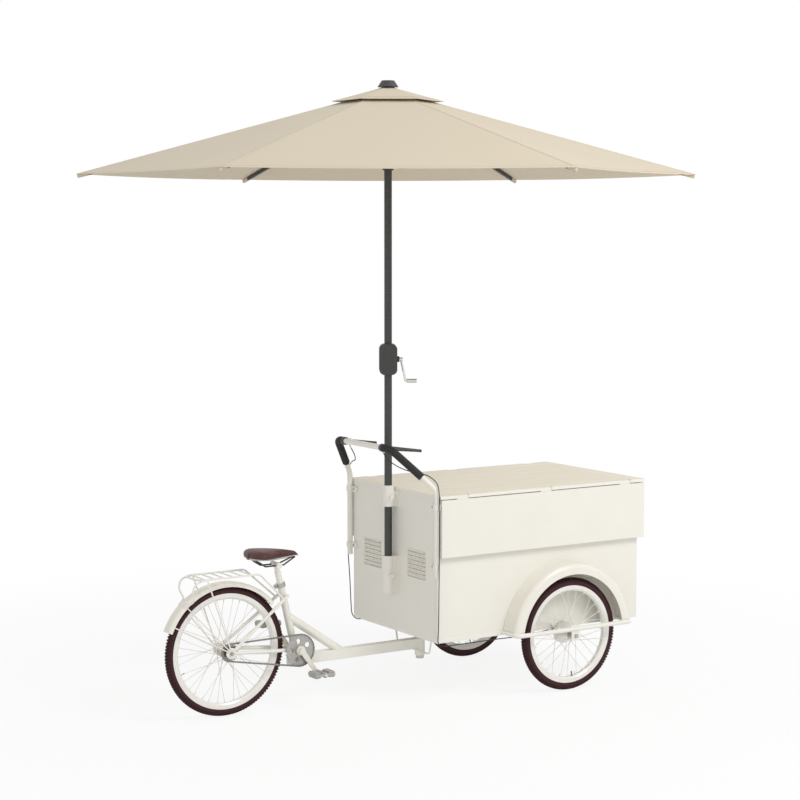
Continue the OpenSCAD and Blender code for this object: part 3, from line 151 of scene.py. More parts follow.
def spun(name, at, profiles, material, sides):
    """One mesh of closed profiles turned about Y. Each profile gives (run along Y, radius)."""
    points, faces = [], []
    for profile in profiles:
        faces += grid_faces(sides, len(profile), True, len(points), ring=True)
        points += [(at.x + r * c, at.y + run, at.z + r * s) for c, s in circle(sides) for run, r in profile]
    return piece(name, points, faces, material)


def smooth_line(route, steps):
    """Points of the smooth curve through the route's points, with steps to each stretch."""
    p = [Vector(q) for q in route]
    line = []
    for i in range(len(p) - 1):
        a, b, c, d = p[max(i - 1, 0)], p[i], p[i + 1], p[min(i + 2, len(p) - 1)]
        for k in range(steps):
            t = k / steps
            line.append(b + (c - a) * t / 2 + (2 * a - 5 * b + 4 * c - d) * t * t / 2
                        + (3 * b - a - 3 * c + d) * t ** 3 / 2)
    return line + [p[-1]]


def bent_line(a, b, c, bend, steps=16):
    """Points of a tube's middle line from a round the corner b to c."""
    u, v = (b - a).normalized(), (c - b).normalized()
    turn = u.angle(v)
    inward = (v - u * u.dot(v)).normalized()
    middle = b - u * bend * math.tan(turn / 2) + inward * bend
    arc = [middle + (u * math.sin(turn * k / steps) - inward * math.cos(turn * k / steps)) * bend
           for k in range(steps + 1)]
    return [a] + arc + [c]


def wire(name, lines):
    """A mesh of bare edges along lists of points."""
    points, edges = [], []
    for line in lines:
        first = len(points)
        points += line
        edges += [(first + i, first + i + 1) for i in range(len(line) - 1)]
    mesh = bpy.data.meshes.new(name)
    mesh.from_pydata([tuple(p) for p in points], edges, [])
    return placed(mesh)


def plain_mesh(made):
    """Turns an object's evaluated modifiers into its plain mesh."""
    seen = made.evaluated_get(bpy.context.evaluated_depsgraph_get())
    mesh = bpy.data.meshes.new_from_object(seen)
    made.modifiers.clear()
    made.data = mesh
    return made


def aimed(name, data, at, look):
    """A camera or a lamp at a place, looking along a direction."""
    made = bpy.data.objects.new(name, data)
    made.location = at
    made.rotation_mode = "QUATERNION"
    made.rotation_quaternion = look.to_track_quat("-Z", "Y")
    bpy.context.scene.collection.objects.link(made)
    return made


def dress(made, body, slot, *replaced):
    """A finished piece rides on its body and may stand for CAD nodes. Its slot is not used."""
    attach(made, body)
    if replaced:
        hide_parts(*replaced)
    return made


# Materials

# a wave texture of scale WAVE / pitch repeats at that pitch
WAVE = 0.31


def finish_of(name, edge_mm=0.0):
    """A new material with its tree, shader, Object coordinates and, where asked for, softened edges."""
    made = bpy.data.materials.new(name)
    made.use_nodes = True
    tree = made.node_tree
    place = add(tree, "ShaderNodeTexCoord").outputs["Object"]
    edge = None
    if edge_mm:
        edge = add(tree, "ShaderNodeBevel", {"Radius": edge_mm * MM}, samples=4).outputs["Normal"]
    return made, tree, tree.nodes["Principled BSDF"], place, edge


def clouds(tree, place, size_mm, detail, *pairs):
    """Soft patches of a size, and for each pair of shades the colour that the patches mix from it."""
    share = add(tree, "ShaderNodeTexNoise", {"Vector": place, "Scale": 1 / (size_mm * MM),
                                             "Detail": detail}).outputs["Fac"]
    mixed = [add(tree, "ShaderNodeMix", {0: share, 6: linear(a), 7: linear(b)}, data_type="RGBA")
             for a, b in pairs]
    return [share] + [m.outputs[2] for m in mixed]


def surface(tree, shader, tint, height, strength, depth_mm, edge, patches=None, rough=(0.0, 0.0)):
    """What finishes share: a tint, a bump on the softened edges, and roughness that varies with patches."""
    grain = {"Height": height, "Strength": strength, "Distance": depth_mm * MM}
    if edge is not None:
        grain["Normal"] = edge
    links = {"Base Color": tint, "Normal": add(tree, "ShaderNodeBump", grain).outputs["Normal"]}
    if patches is not None:
        gloss = add(tree, "ShaderNodeMapRange", {"Value": patches, "To Min": rough[0], "To Max": rough[1]})
        links["Roughness"] = gloss.outputs["Result"]
    for key, socket in links.items():
        tree.links.new(socket, shader.inputs[key])


def coated(name, colour, shade, rubbed, rough, peel_mm, peel, edge_mm, coat=0.0):
    """Sprayed finish: faint clouds of shade, orange peel, soft edges that are rubbed a little."""
    made, tree, shader, place, edge = finish_of(name, edge_mm)
    body = clouds(tree, place, 140, 4.0, (colour, shade))[1]
    scuffs = clouds(tree, place, 18, 3.0)[0]
    facing = add(tree, "ShaderNodeNewGeometry")
    turn = add(tree, "ShaderNodeVectorMath", {0: edge, 1: facing.outputs["Normal"]},
               operation="DOT_PRODUCT")
    rub = add(tree, "ShaderNodeMapRange", {"Value": turn.outputs["Value"], "From Min": 0.97,
                                           "From Max": 0.75, "To Max": 0.5})
    worn = add(tree, "ShaderNodeMath", {0: rub, 1: scuffs}, operation="MULTIPLY")
    tint = add(tree, "ShaderNodeMix", {0: worn, 6: body, 7: linear(rubbed)}, data_type="RGBA")
    skin = clouds(tree, place, peel_mm, 2.0)[0]
    surface(tree, shader, tint.outputs[2], skin, peel, 0.2, edge, scuffs, (rough - 0.06, rough + 0.08))
    shader.inputs["Coat Weight"].default_value = coat
    return made


def bare_metal(name, colour, shade, rough, lines_mm, edge_mm):
    """Machined or plated metal: fine turning lines across the piece, and dull patches."""
    made, tree, shader, place, edge = finish_of(name, edge_mm)
    patches, tint = clouds(tree, place, 9, 3.0, (colour, shade))
    lines = add(tree, "ShaderNodeTexWave", {"Vector": place, "Scale": WAVE / (lines_mm * MM),
                                            "Distortion": 1.5}, bands_direction="DIAGONAL")
    surface(tree, shader, tint, lines.outputs["Fac"], 0.06, 0.1, edge, patches, (rough - 0.07, rough + 0.1))
    shader.inputs["Metallic"].default_value = 1.0
    return made


def moulded(name, colour, shade, rough, grain_mm, grain, shine=0.5):
    """Moulded rubber or plastic: pitted skin with a dusty bloom in patches."""
    made, tree, shader, place, edge = finish_of(name, 0.8)
    bloom, tint = clouds(tree, place, 26, 5.0, (colour, shade))
    pits = add(tree, "ShaderNodeTexVoronoi", {"Vector": place, "Scale": 1 / (grain_mm * MM)})
    surface(tree, shader, tint, pits.outputs["Distance"], grain, 0.3, edge, bloom,
            (rough - 0.08, rough + 0.08))
    shader.inputs["Specular IOR Level"].default_value = shine
    return made


def two_finishes(name, mask, inner, outer, rough):
    """Bare metal where the mask is 1, sprayed enamel elsewhere. mask is a function of tree and place."""
    made, tree, shader, place, edge = finish_of(name, 0.5)
    share = mask(tree, place)
    patches, metal, enamel = clouds(tree, place, 9, 3.0, inner, outer)
    tint = add(tree, "ShaderNodeMix", {0: share, 6: enamel, 7: metal}, data_type="RGBA")
    surface(tree, shader, tint.outputs[2], patches, 0.08, 0.1, edge, patches, (rough - 0.07, rough + 0.1))
    tree.links.new(share, shader.inputs["Metallic"])
    return made


def near_axle(node, reach):
    """Mask of what lies within reach of a wheel's axle."""
    middle = centre(node)

    def mask(tree, place):
        off = add(tree, "ShaderNodeVectorMath", {0: place, 1: tuple(middle)}, operation="SUBTRACT")
        level = add(tree, "ShaderNodeVectorMath", {0: off, 1: (1.0, 0.0, 1.0)}, operation="MULTIPLY")
        away = add(tree, "ShaderNodeVectorMath", {0: level}, operation="LENGTH")
        near = add(tree, "ShaderNodeMath", {0: away.outputs["Value"], 1: reach}, operation="LESS_THAN")
        return near.outputs[0]
    return mask


def chain_side(tree, place):
    """Mask of the chainring, a thin disc in the chain's plane."""
    along = add(tree, "ShaderNodeSeparateXYZ", {0: place})
    return add(tree, "ShaderNodeMath", {0: along.outputs["Y"], 1: CHAIN_Y, 2: RING_HALF},
               operation="COMPARE").outputs[0]


def sealed_board():
    """Pale laminated board: long faint grain on top, plain cream banding round its edges."""
    made, tree, shader, place, edge = finish_of("sealed_pale_board", 1.5)
    stretch = add(tree, "ShaderNodeMapping", {"Vector": place, "Scale": (0.9, 14.0, 14.0)})
    grain = add(tree, "ShaderNodeTexNoise", {"Vector": stretch, "Scale": 5.0, "Detail": 6.0,
                                             "Distortion": 0.6})
    contrast = add(tree, "ShaderNodeMapRange", {"Value": grain.outputs["Fac"], "From Min": 0.3,
                                                "From Max": 0.7})
    wood = add(tree, "ShaderNodeMix", {0: contrast, 6: linear("#efe8d6"),
                                       7: linear("#e4dbc5")}, data_type="RGBA")
    facing = add(tree, "ShaderNodeNewGeometry")
    up = add(tree, "ShaderNodeSeparateXYZ", {0: facing.outputs["True Normal"]})
    top = add(tree, "ShaderNodeMath", {0: up.outputs["Z"], 1: 0.7}, operation="GREATER_THAN")
    tint = add(tree, "ShaderNodeMix", {0: top, 6: linear("#f0ede2"), 7: wood.outputs[2]},
               data_type="RGBA")
    surface(tree, shader, tint.outputs[2], grain.outputs["Fac"], 0.08, 0.3, edge)
    shader.inputs["Roughness"].default_value = 0.42
    return made


def parasol_canvas():
    """Woven polyester canvas: crossed threads drawn coarse enough to show, faint sun-bleached patches."""
    made, tree, shader, place, edge = finish_of("woven_parasol_canvas")
    cloth = add(tree, "ShaderNodeUVMap", uv_map="cloth").outputs["UV"]
    tint = clouds(tree, place, 500, 5.0, ("#dccfb8", "#d6c9b0"))[1]
    # threads are under 0.5 mm apart on the real cloth, and 3 mm here
    threads = [add(tree, "ShaderNodeTexWave", {"Vector": cloth, "Scale": WAVE / (3 * MM), "Distortion": 0.4,
                                               "Detail": 1.0}, bands_direction=way) for way in ("X", "Y")]
    weave = add(tree, "ShaderNodeMath", {0: threads[0].outputs["Fac"], 1: threads[1].outputs["Fac"]},
                operation="MULTIPLY")
    shaded = add(tree, "ShaderNodeMix", {0: weave, 6: tint, 7: linear("#e0d4be")}, data_type="RGBA")
    surface(tree, shader, shaded.outputs[2], weave.outputs[0], 0.12, 0.3, edge)
    for key, value in (("Roughness", 0.85), ("Sheen Weight", 0.15), ("Specular IOR Level", 0.25)):
        shader.inputs[key].default_value = value
    return made


def saddle_leather():
    """Waxed cowhide over foam: pebbled grain, patchy gloss, paler in patches towards the crown and dark
    towards the lower edge.
    """
    made, tree, shader, place, edge = finish_of("waxed_saddle_leather")
    low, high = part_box("saddle")
    height = add(tree, "ShaderNodeSeparateXYZ", {0: place})
    # the colour is paler in patches towards the crown and darker towards the lower edge
    crown = add(tree, "ShaderNodeMapRange", {"Value": height.outputs["Z"], "From Min": low.z + 12 * MM,
                                             "From Max": high.z})
    patches = clouds(tree, place, 30, 6.0)[0]
    patchy = add(tree, "ShaderNodeMath", {0: crown, 1: patches}, operation="MULTIPLY")
    tint = add(tree, "ShaderNodeMix", {0: patchy, 6: linear("#452627"), 7: linear("#6d4140")},
               data_type="RGBA")
    pebbles = add(tree, "ShaderNodeTexVoronoi", {"Vector": place, "Scale": 1 / (2.2 * MM)})
    surface(tree, shader, tint.outputs[2], pebbles.outputs["Distance"], 0.25, 0.3, edge, patches,
            (0.34, 0.52))
    shader.inputs["Specular IOR Level"].default_value = 0.4
    return made


CHAIN_Y = -46 * MM
RING_HALF = 4 * MM
HUB_REACH = {"right_front_hub": 56 * MM, "left_front_hub": 56 * MM, "rear_hub": 44 * MM}

# cream powder coat on steel tube: satin, faintly pebbled
CREAM_COAT = coated("cream_powder_coat", "#f2f0e8", "#ece9df", "#dcd8cb", 0.36, 1.6, 0.25, 0.8, 0.15)
# sprayed cream lacquer on sheet and board: flatter than the tube, with softened arrises
CREAM_PANEL = coated("cream_lacquered_panel", "#f1eee5", "#ece9df", "#d9d5c8", 0.44, 2.4, 0.2, 1.6)
# moulded cream shell of the mudguards
CREAM_SHELL = coated("cream_moulded_shell", "#f2efe6", "#eae6da", "#e0dccf", 0.32, 3.0, 0.15, 1.2, 0.2)
# white stove enamel on the rims
WHITE_ENAMEL = coated("white_rim_enamel", "#f3f1ec", "#e9e6df", "#d2cec6", 0.26, 1.2, 0.12, 0.5, 0.3)
# dark grey textured powder coat on the pole, ribs and struts
DARK_COAT = coated("dark_grey_powder_coat", "#3f3f3e", "#383838", "#53534f", 0.46, 0.9, 0.4, 0.8)
# black enamel on the saddle's wire frame
BLACK_ENAMEL = coated("black_wire_enamel", "#2c2c2c", "#262626", "#4a4a48", 0.34, 0.8, 0.2, 0.5)
# zinc-plated steel of nuts, pins and axles
ZINC = bare_metal("zinc_plated_steel", "#c4c4c0", "#a9a9a6", 0.34, 0.8, 0.5)
# oiled chain steel, bright and dark in small patches
CHAIN_STEEL = bare_metal("oiled_chain_steel", "#a3a19b", "#75726c", 0.36, 0.5, 0.2)
# bright chrome of the winder crank
CHROME = bare_metal("bright_chrome", "#dededc", "#d2d2d2", 0.12, 0.5, 0.5)
# polished hub shells with white-coated spokes, which almost vanish against a pale ground
HUBS = {node: two_finishes(f"{node}_alloy_and_white_spokes", near_axle(node, reach), ("#e6e4df", "#d3d1cb"),
                           ("#f1efea", "#e6e3dc"), 0.3) for node, reach in HUB_REACH.items()}
# enamelled crank arms with a bright steel chainring
CRANK_ENAMEL = two_finishes("crank_enamel_and_steel_ring", chain_side, ("#c2c1bd", "#9b9995"),
                            ("#f0ede4", "#e4e0d6"), 0.34)
# soft black rubber of grips and cable sleeves
BLACK_RUBBER = moulded("black_grip_rubber", "#262626", "#2f2f2e", 0.62, 1.6, 0.35, 0.35)
# glass-filled black plastic of levers, clamps and winder
BLACK_PLASTIC = moulded("black_nylon", "#333332", "#3d3d3b", 0.46, 0.9, 0.2)
# dark burgundy tyre rubber, dull and finely pitted
TYRE_RUBBER = moulded("burgundy_tyre_rubber", "#371c1f", "#412528", 0.72, 1.4, 0.3, 0.25)
# pale grey nylon of the pedals
PEDAL_GREY = moulded("pale_pedal_nylon", "#b9b7b2", "#a5a39e", 0.5, 1.0, 0.25)
# pale polypropylene pan under the saddle, and its lip
PAN_PLASTIC = moulded("pale_saddle_pan", "#cfc9c2", "#bfb8b0", 0.48, 1.4, 0.2)
# bonded polyester thread of the parasol's seams: a shade darker than the cloth
THREAD = moulded("bonded_sewing_thread", "#cdbfa6", "#c3b49a", 0.7, 0.8, 0.2, 0.25)
BOARD = sealed_board()
CANVAS = parasol_canvas()
LEATHER = saddle_leather()

FINISHES = {
    CREAM_COAT: ["chassis_frame", "rear_frame", "rear_stays", "rear_rack", "wheel_carriers", "handlebar",
                 "umbrella_holder", "seat_post"],
    CREAM_PANEL: ["box_floor", "rear_panel", "cabinet_shell", "right_flap", "left_flap"],
    CREAM_SHELL: ["front_fenders", "rear_fender"],
    BOARD: ["worktop"],
    ZINC: ["kingpin", "flap_hinges", "front_axles", "rear_axle", "frame_fittings"],
    CRANK_ENAMEL: ["crankset"],
    CHAIN_STEEL: ["chain", "freewheel_cog"],
    CHROME: ["winder_crank"],
    WHITE_ENAMEL: ["right_front_rim", "left_front_rim", "rear_rim"],
    TYRE_RUBBER: ["right_front_tyre", "left_front_tyre", "rear_tyre"],
    BLACK_RUBBER: ["grips", "brake_cables"],
    BLACK_PLASTIC: ["lever_clamps", "right_brake_lever", "left_brake_lever", "winder_housing"],
    PEDAL_GREY: ["right_pedal", "left_pedal"],
    LEATHER: ["saddle"],
    BLACK_ENAMEL: ["saddle_rails"],
    CANVAS: ["canopy"],
    DARK_COAT: ["umbrella_pole", "umbrella_crown", "runner"]
    + [f"{kind}_{k}" for kind in ("rib", "strut") for k in range(1, 7)],
}
FINISHES.update({material: [node] for node, material in HUBS.items()})
for material, names in FINISHES.items():
    for name in names:
        NODES[name].data.materials.clear()
        NODES[name].data.materials.append(material)


# Camera at the photograph's viewing angle

CAMERA_AT = Vector((-4.589, -7.343, 2.100))
CAMERA_YAW = math.radians(32.35)
CAMERA_PITCH = math.radians(-5.22)
CAMERA_LENS = 88.5


def place_camera():
    """The camera that was fitted to the photo's stated lengths."""
    data = bpy.data.cameras.new("camera")
    data.lens = CAMERA_LENS
    data.sensor_width = 36
    data.clip_start = 0.1
    data.clip_end = 200
    look = Vector((math.sin(CAMERA_YAW) * math.cos(CAMERA_PITCH),
                   math.cos(CAMERA_YAW) * math.cos(CAMERA_PITCH), math.sin(CAMERA_PITCH)))
    bpy.context.scene.camera = aimed("camera", data, CAMERA_AT, look)


place_camera()


# Brake cables: the same route as the CAD tubes, drawn smooth

CABLE_D = 4.4 * MM
LEVER_PIVOT = Vector(JOINTS["left_lever_squeeze"]["pos_m"])
UPRIGHT = Vector((19.2, 362.2, 0)) * MM
BOX_CORNER = Vector((32, 350, 274)) * MM
DRUM = Vector((699, 350, 254)) * MM
CABLE_LEVER = [(-20, -20, -6), (-12, -22, -24), (2, -18, -44), (20, -4, -66), (40, 26, -84), (62, 68, -97)]
CABLE_POST = [(-22, -72, 1010), (-9, -32, 999), (-1, 3, 976), (1, 16, 942), (0, 20, 890), (0, 20, 760),
              (0, 20, 620), (1, 18, 555), (4, 12, 470), (6, 8, 390)]
CABLE_BOX = [(-6, 16, 52), (-4, 11, 14), (8, 4, -6), (30, 1, -14), (90, 0, -15), (200, 0, -15),
             (330, 3, -14)]
CABLE_DRUM = [(-250, 10, 6), (-150, 14, 12), (-90, 15, 19), (-58, 15, 21)]
CABLE_STEPS = 6
CABLE_SLEEVE = [(run * MM, r * MM) for run, r in (
    (0, 2.4), (0, 3.4), (9, 3.4), (10, 2.8), (22, 2.6), (23, 2.2))]


def brake_cable(side, name):
    """One cable and its two end sleeves."""
    route = [base + Vector(p) * MM for base, points in (
        (LEVER_PIVOT, CABLE_LEVER), (UPRIGHT, CABLE_POST), (BOX_CORNER, CABLE_BOX), (DRUM, CABLE_DRUM))
        for p in points]
    line = [Vector((p.x, side * p.y, p.z)) for p in smooth_line(route, CABLE_STEPS)]
    curve = bpy.data.curves.new(name, "CURVE")
    curve.dimensions = "3D"
    curve.bevel_depth = CABLE_D / 2
    curve.bevel_resolution = 2
    curve.use_fill_caps = True
    spline = curve.splines.new("POLY")
    spline.points.add(len(line) - 1)
    spline.points.foreach_set("co", [c for p in line for c in (*p, 1.0)])
    curve.materials.append(BLACK_RUBBER)
    cable = placed(curve)
    spots = [(line[0], line[1] - line[0]), (line[-1], line[-2] - line[-1])]
    ends = dress(turned(f"{name}_ends", spots, CABLE_SLEEVE, ZINC), "cart", "steel")
    dress(cable, "cart", "black_rubber", "brake_cables")


brake_cable(1, "left_brake_cable")
brake_cable(-1, "right_brake_cable")


# Geometry Nodes trees for what repeats

WHOLE_INPUTS = ("Count", "Sides")
# half a stitch, as a share of the pitch
STITCH_HALF = 0.34


def new_tree(name, *inputs):
    """An empty Geometry Nodes tree with its number inputs and geometry sockets, and its group input."""
    tree = bpy.data.node_groups.new(name, "GeometryNodeTree")
    tree.interface.new_socket("Geometry", in_out="INPUT", socket_type="NodeSocketGeometry")
    for label in inputs:
        kind = "NodeSocketInt" if label in WHOLE_INPUTS else "NodeSocketFloat"
        tree.interface.new_socket(label, in_out="INPUT", socket_type=kind)
    tree.interface.new_socket("Geometry", in_out="OUTPUT", socket_type="NodeSocketGeometry")
    return tree, add(tree, "NodeGroupInput").outputs


def close_tree(tree, geometry, material, smooth=True):
    """Ends a tree in Realize Instances and Set Material."""
    real = add(tree, "GeometryNodeRealizeInstances", {"Geometry": geometry})
    shade = add(tree, "GeometryNodeSetShadeSmooth", {"Geometry": real, "Shade Smooth": smooth})
    done = add(tree, "GeometryNodeSetMaterial", {"Geometry": shade, "Material": material})
    add(tree, "NodeGroupOutput", {"Geometry": done})
    return tree


def run_tree(made, tree, **values):
    """Runs a tree on an object with its inputs set by identifier, and keeps the plain mesh."""
    modifier = made.modifiers.new(tree.name, "NODES")
    modifier.node_group = tree
    names = {s.name: s.identifier for s in tree.interface.items_tree if s.in_out == "INPUT"}
    for key, value in values.items():
        modifier[names[key.replace("_", " ")]] = value
    return plain_mesh(made)


def threaded(tree, given, bead, size=(1.0, 1.0, 1.0)):
    """Copies of a bead, threaded at the pitch along the edges of a wire mesh."""
    path = add(tree, "GeometryNodeMeshToCurve", {"Mesh": given["Geometry"]})
    spots = add(tree, "GeometryNodeCurveToPoints", {"Curve": path, "Length": given["Pitch"]},
                mode="LENGTH")
    return add(tree, "GeometryNodeInstanceOnPoints", {
        "Points": spots.outputs["Points"], "Instance": bead,
        "Rotation": spots.outputs["Rotation"], "Scale": size}).outputs[0]


def stitch_tree(material):
    """Stitches laid end to end along the edges of a wire mesh."""
    tree, given = new_tree("stitch_row", "Pitch", "Thread")
    half = add(tree, "ShaderNodeMath", {0: given["Pitch"], 1: STITCH_HALF}, operation="MULTIPLY")
    size = add(tree, "ShaderNodeCombineXYZ", {"X": given["Thread"], "Y": given["Thread"], "Z": half})
    bead = add(tree, "GeometryNodeMeshUVSphere", {"Segments": 6, "Rings": 4, "Radius": 1.0})
    return close_tree(tree, threaded(tree, given, bead, size.outputs[0]), material)


def disc_tree(name, material):
    """Thin discs threaded on a wire path, which stand out of a round grip as ribs."""
    tree, given = new_tree(name, "Pitch", "Radius", "Width")
    disc = add(tree, "GeometryNodeMeshCylinder", {"Vertices": 24, "Radius": given["Radius"],
                                                  "Depth": given["Width"]})
    return close_tree(tree, threaded(tree, given, disc), material, False)


def stud_tree(name, material):
    """A tapered stud on each point of a mesh, turned to the point's aim: nipples, bolt heads and pins."""
    tree, given = new_tree(name, "Sides", "Foot", "Top", "Height")
    stud = add(tree, "GeometryNodeMeshCone", {
        "Vertices": given["Sides"], "Radius Bottom": given["Foot"], "Radius Top": given["Top"],
        "Depth": given["Height"]})
    aim = add(tree, "GeometryNodeInputNamedAttribute", {"Name": "aim"}, data_type="FLOAT_VECTOR")
    turn = add(tree, "FunctionNodeAlignRotationToVector", {"Vector": aim.outputs["Attribute"]}, axis="Z")
    laid = add(tree, "GeometryNodeInstanceOnPoints", {
        "Points": given["Geometry"], "Instance": stud, "Rotation": turn})
    return close_tree(tree, laid.outputs[0], material, False)


def tube_tree(name, material):
    """A round tube along each run of a wire mesh."""
    tree, given = new_tree(name, "Radius")
    path = add(tree, "GeometryNodeMeshToCurve", {"Mesh": given["Geometry"]})
    ring = add(tree, "GeometryNodeCurvePrimitiveCircle", {"Resolution": 12, "Radius": given["Radius"]})
    tube = add(tree, "GeometryNodeCurveToMesh", {"Curve": path, "Profile Curve": ring,
                                                 "Fill Caps": True})
    return close_tree(tree, tube.outputs[0], material)


def ring_tree(name, material, rows):
    """Like blocks standing out of rings about Y: each row has its angle on the section and its width."""
    tree, given = new_tree(name, "Count", "Middle Radius", "Section Radius", "Length", "Width", "Height")
    block = add(tree, "GeometryNodeMeshCube", {"Size": (1.0, 1.0, 1.0)})
    size = add(tree, "ShaderNodeCombineXYZ", {"X": given["Length"], "Y": given["Width"],
                                              "Z": given["Height"]})
    spot = add(tree, "GeometryNodeInputPosition")
    level = add(tree, "ShaderNodeVectorMath", {0: spot, 1: (1.0, 1.0, 0.0)}, operation="MULTIPLY")
    away = add(tree, "ShaderNodeVectorMath", {0: level}, operation="NORMALIZE")
    along = add(tree, "ShaderNodeVectorMath", {0: (0.0, 0.0, 1.0), 1: away}, operation="CROSS_PRODUCT")
    joined = add(tree, "GeometryNodeJoinGeometry")
    for angle, wide in rows:
        out = math.cos(angle)
        up = math.sin(angle)
        reach = add(tree, "ShaderNodeMath", {0: given["Section Radius"], 1: out, 2: given["Middle Radius"]},
                    operation="MULTIPLY_ADD")
        lift = add(tree, "ShaderNodeMath", {0: given["Section Radius"], 1: up}, operation="MULTIPLY")
        ring = add(tree, "GeometryNodeMeshCircle", {"Vertices": given["Count"], "Radius": reach})
        shift = add(tree, "ShaderNodeCombineXYZ", {"Z": lift})
        moved = add(tree, "GeometryNodeTransform", {"Geometry": ring, "Translation": shift})
        slant = add(tree, "ShaderNodeVectorMath", {0: away, 1: (out, out, out), 2: (0.0, 0.0, up)},
                    operation="MULTIPLY_ADD")
        stand = add(tree, "FunctionNodeAlignRotationToVector", {"Vector": slant}, axis="Z")
        aim = add(tree, "FunctionNodeAlignRotationToVector", {
            "Rotation": stand, "Vector": along}, axis="X", pivot_axis="Z")
        scale = add(tree, "ShaderNodeVectorMath", {0: size, 1: (1.0, wide, 1.0)}, operation="MULTIPLY")
        laid = add(tree, "GeometryNodeInstanceOnPoints", {
            "Points": moved, "Instance": block, "Rotation": aim,
            "Scale": scale})
        tree.links.new(laid.outputs[0], joined.inputs[0])
    # the rings are built about Z and laid along Y
    upright = add(tree, "GeometryNodeTransform", {"Geometry": joined,
                                                  "Rotation": (math.pi / 2, 0.0, 0.0)})
    return close_tree(tree, upright.outputs[0], material, False)


def studs(name, spots, tree, sides, foot, top, height):
    """One mesh of studs, each at a spot (place, direction)."""
    mesh = bpy.data.meshes.new(name)
    mesh.from_pydata([tuple(at) for at, aim in spots], [], [])
    aims = mesh.attributes.new("aim", "FLOAT_VECTOR", "POINT")
    aims.data.foreach_set("vector", [c for at, aim in spots for c in Vector(aim).normalized()])
    return run_tree(placed(mesh), tree, Sides=sides, Foot=foot, Top=top, Height=height)


ENAMEL_STUDS = stud_tree("enamel_studs", WHITE_ENAMEL)
ZINC_STUDS = stud_tree("zinc_studs", ZINC)
NYLON_STUDS = stud_tree("nylon_studs", PEDAL_GREY)
GRIP_RIBS = disc_tree("grip_ribs", BLACK_RUBBER)
STITCHES = stitch_tree(THREAD)


# Wheels: treaded tyres, rim edges, spoke nipples and valves

# wheel, body, spokes, valve's angle in degrees and hand of its lacing
WHEELS = [("right_front", "right_front_wheel", 28, 270, -1), ("left_front", "left_front_wheel", 28, 270, 1),
          ("rear", "rear_wheel", 36, 196, 1)]
TYRE_SHARE = 0.84
TREAD_H = 4.0 * MM
TREAD_PITCH = 14 * MM
RIM_H = 20 * MM
RIM_EDGE = 4.0 * MM
NIPPLE_SHARE = 0.12
BLOCK_L = 7 * MM
BLOCK_W = 6.4 * MM
BLOCK_SUNK = 0.2 * MM
BEAD_TUCK = 0.2 * MM
EDGE_HALF = 1.5 * MM
EDGE_SUNK = 1 * MM
EDGE_PROUD = 0.4 * MM
CARCASS_STEPS = 14
TYRE_SIDES = 144
EDGE_SIDES = 128
# sides, foot radius, top radius and height of a stud
NIPPLE = (8, 2.8 * MM, 1.5 * MM, 12 * MM)
# angle of each row on the section in degrees, and its share of the blocks' width
TREAD_ROWS = [(math.radians(a), w) for a, w in (
    (0, 1.0), (17, 1.0), (-17, 1.0), (35, 1.0), (-35, 1.0), (53, 1.25), (-53, 1.25))]
TREAD = ring_tree("tyre_tread", TYRE_RUBBER, TREAD_ROWS)
VALVE = [(run * MM, r * MM) for run, r in (
    (-2, 4.4), (1.5, 4.2), (2, 2.3), (10, 2.2), (10.4, 2.8), (19, 2.8), (20.5, 1.8))]


def tyre_size(kind):
    """Middle, outer radius, width and bead radius of a wheel's tyre."""
    low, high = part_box(kind + "_tyre")
    radius = (high.z - low.z) / 2
    width = high.y - low.y
    return (low + high) / 2, radius, width, radius - width * TYRE_SHARE


def tyre(kind, body):
    """A round carcass, blocks of tread standing out of it, and the rim's two edges that hold its beads."""
    at, radius, width, seat = tyre_size(kind)
    section = width / 2 - TREAD_H
    middle = radius - width / 2
    foot = math.acos((seat - middle) / section)
    angles = [foot * (k / CARCASS_STEPS - 1) for k in range(2 * CARCASS_STEPS + 1)]
    profile = [(math.sin(a) * section, middle + math.cos(a) * section) for a in angles]
    for end in (0, -1):
        profile[end] = (profile[end][0], seat + BEAD_TUCK)
    carcass = spun(f"{kind}_tyre_carcass", at, [profile], TYRE_RUBBER, TYRE_SIDES)
    dress(carcass, body, "tyre", kind + "_tyre")
    tread = piece(f"{kind}_tyre_tread", [(0, 0, 0)], [], TYRE_RUBBER)
    run_tree(tread, TREAD, Count=round(2 * math.pi * radius / TREAD_PITCH), Middle_Radius=middle,
             Section_Radius=section + TREAD_H / 2 - BLOCK_SUNK, Length=BLOCK_L, Width=BLOCK_W,
             Height=TREAD_H)
    tread.data.transform(Matrix.Translation(at))
    dress(tread, body, "tyre")
    edge_r = seat + RIM_EDGE - EDGE_SUNK
    edge_y = math.sqrt(section ** 2 - (edge_r - middle) ** 2) + EDGE_PROUD
    edges = [[(s * edge_y + EDGE_HALF * b, edge_r + RIM_EDGE * c) for c, b in circle(10)] for s in (-1, 1)]
    dress(spun(f"{kind}_rim_edges", at, edges, WHITE_ENAMEL, EDGE_SIDES), body, "white_rim")


def nipples_and_valve(kind, body, count, valve_at, hand):
    """Spoke nipples round the inside of the rim, and the valve with its cap."""
    at, radius, width, seat = tyre_size(kind)
    rim_in = seat - RIM_H
    spots = []
    for k, (c, s) in enumerate(circle(count)):
        out = Vector((c, 0, s))
        side = hand * NIPPLE_SHARE * width * (1 if k % 2 else -1)
        spots.append((at + out * rim_in + Vector((0, side, 0)), -out))
    dress(studs(f"{kind}_spoke_nipples", spots, ENAMEL_STUDS, *NIPPLE), body, "white_rim")
    a = math.radians(valve_at) + math.pi / count
    out = Vector((math.cos(a), 0, math.sin(a)))
    valve = turned(f"{kind}_valve", [(at + out * rim_in, -out)], VALVE, BLACK_RUBBER)
    dress(valve, body, "black_rubber")


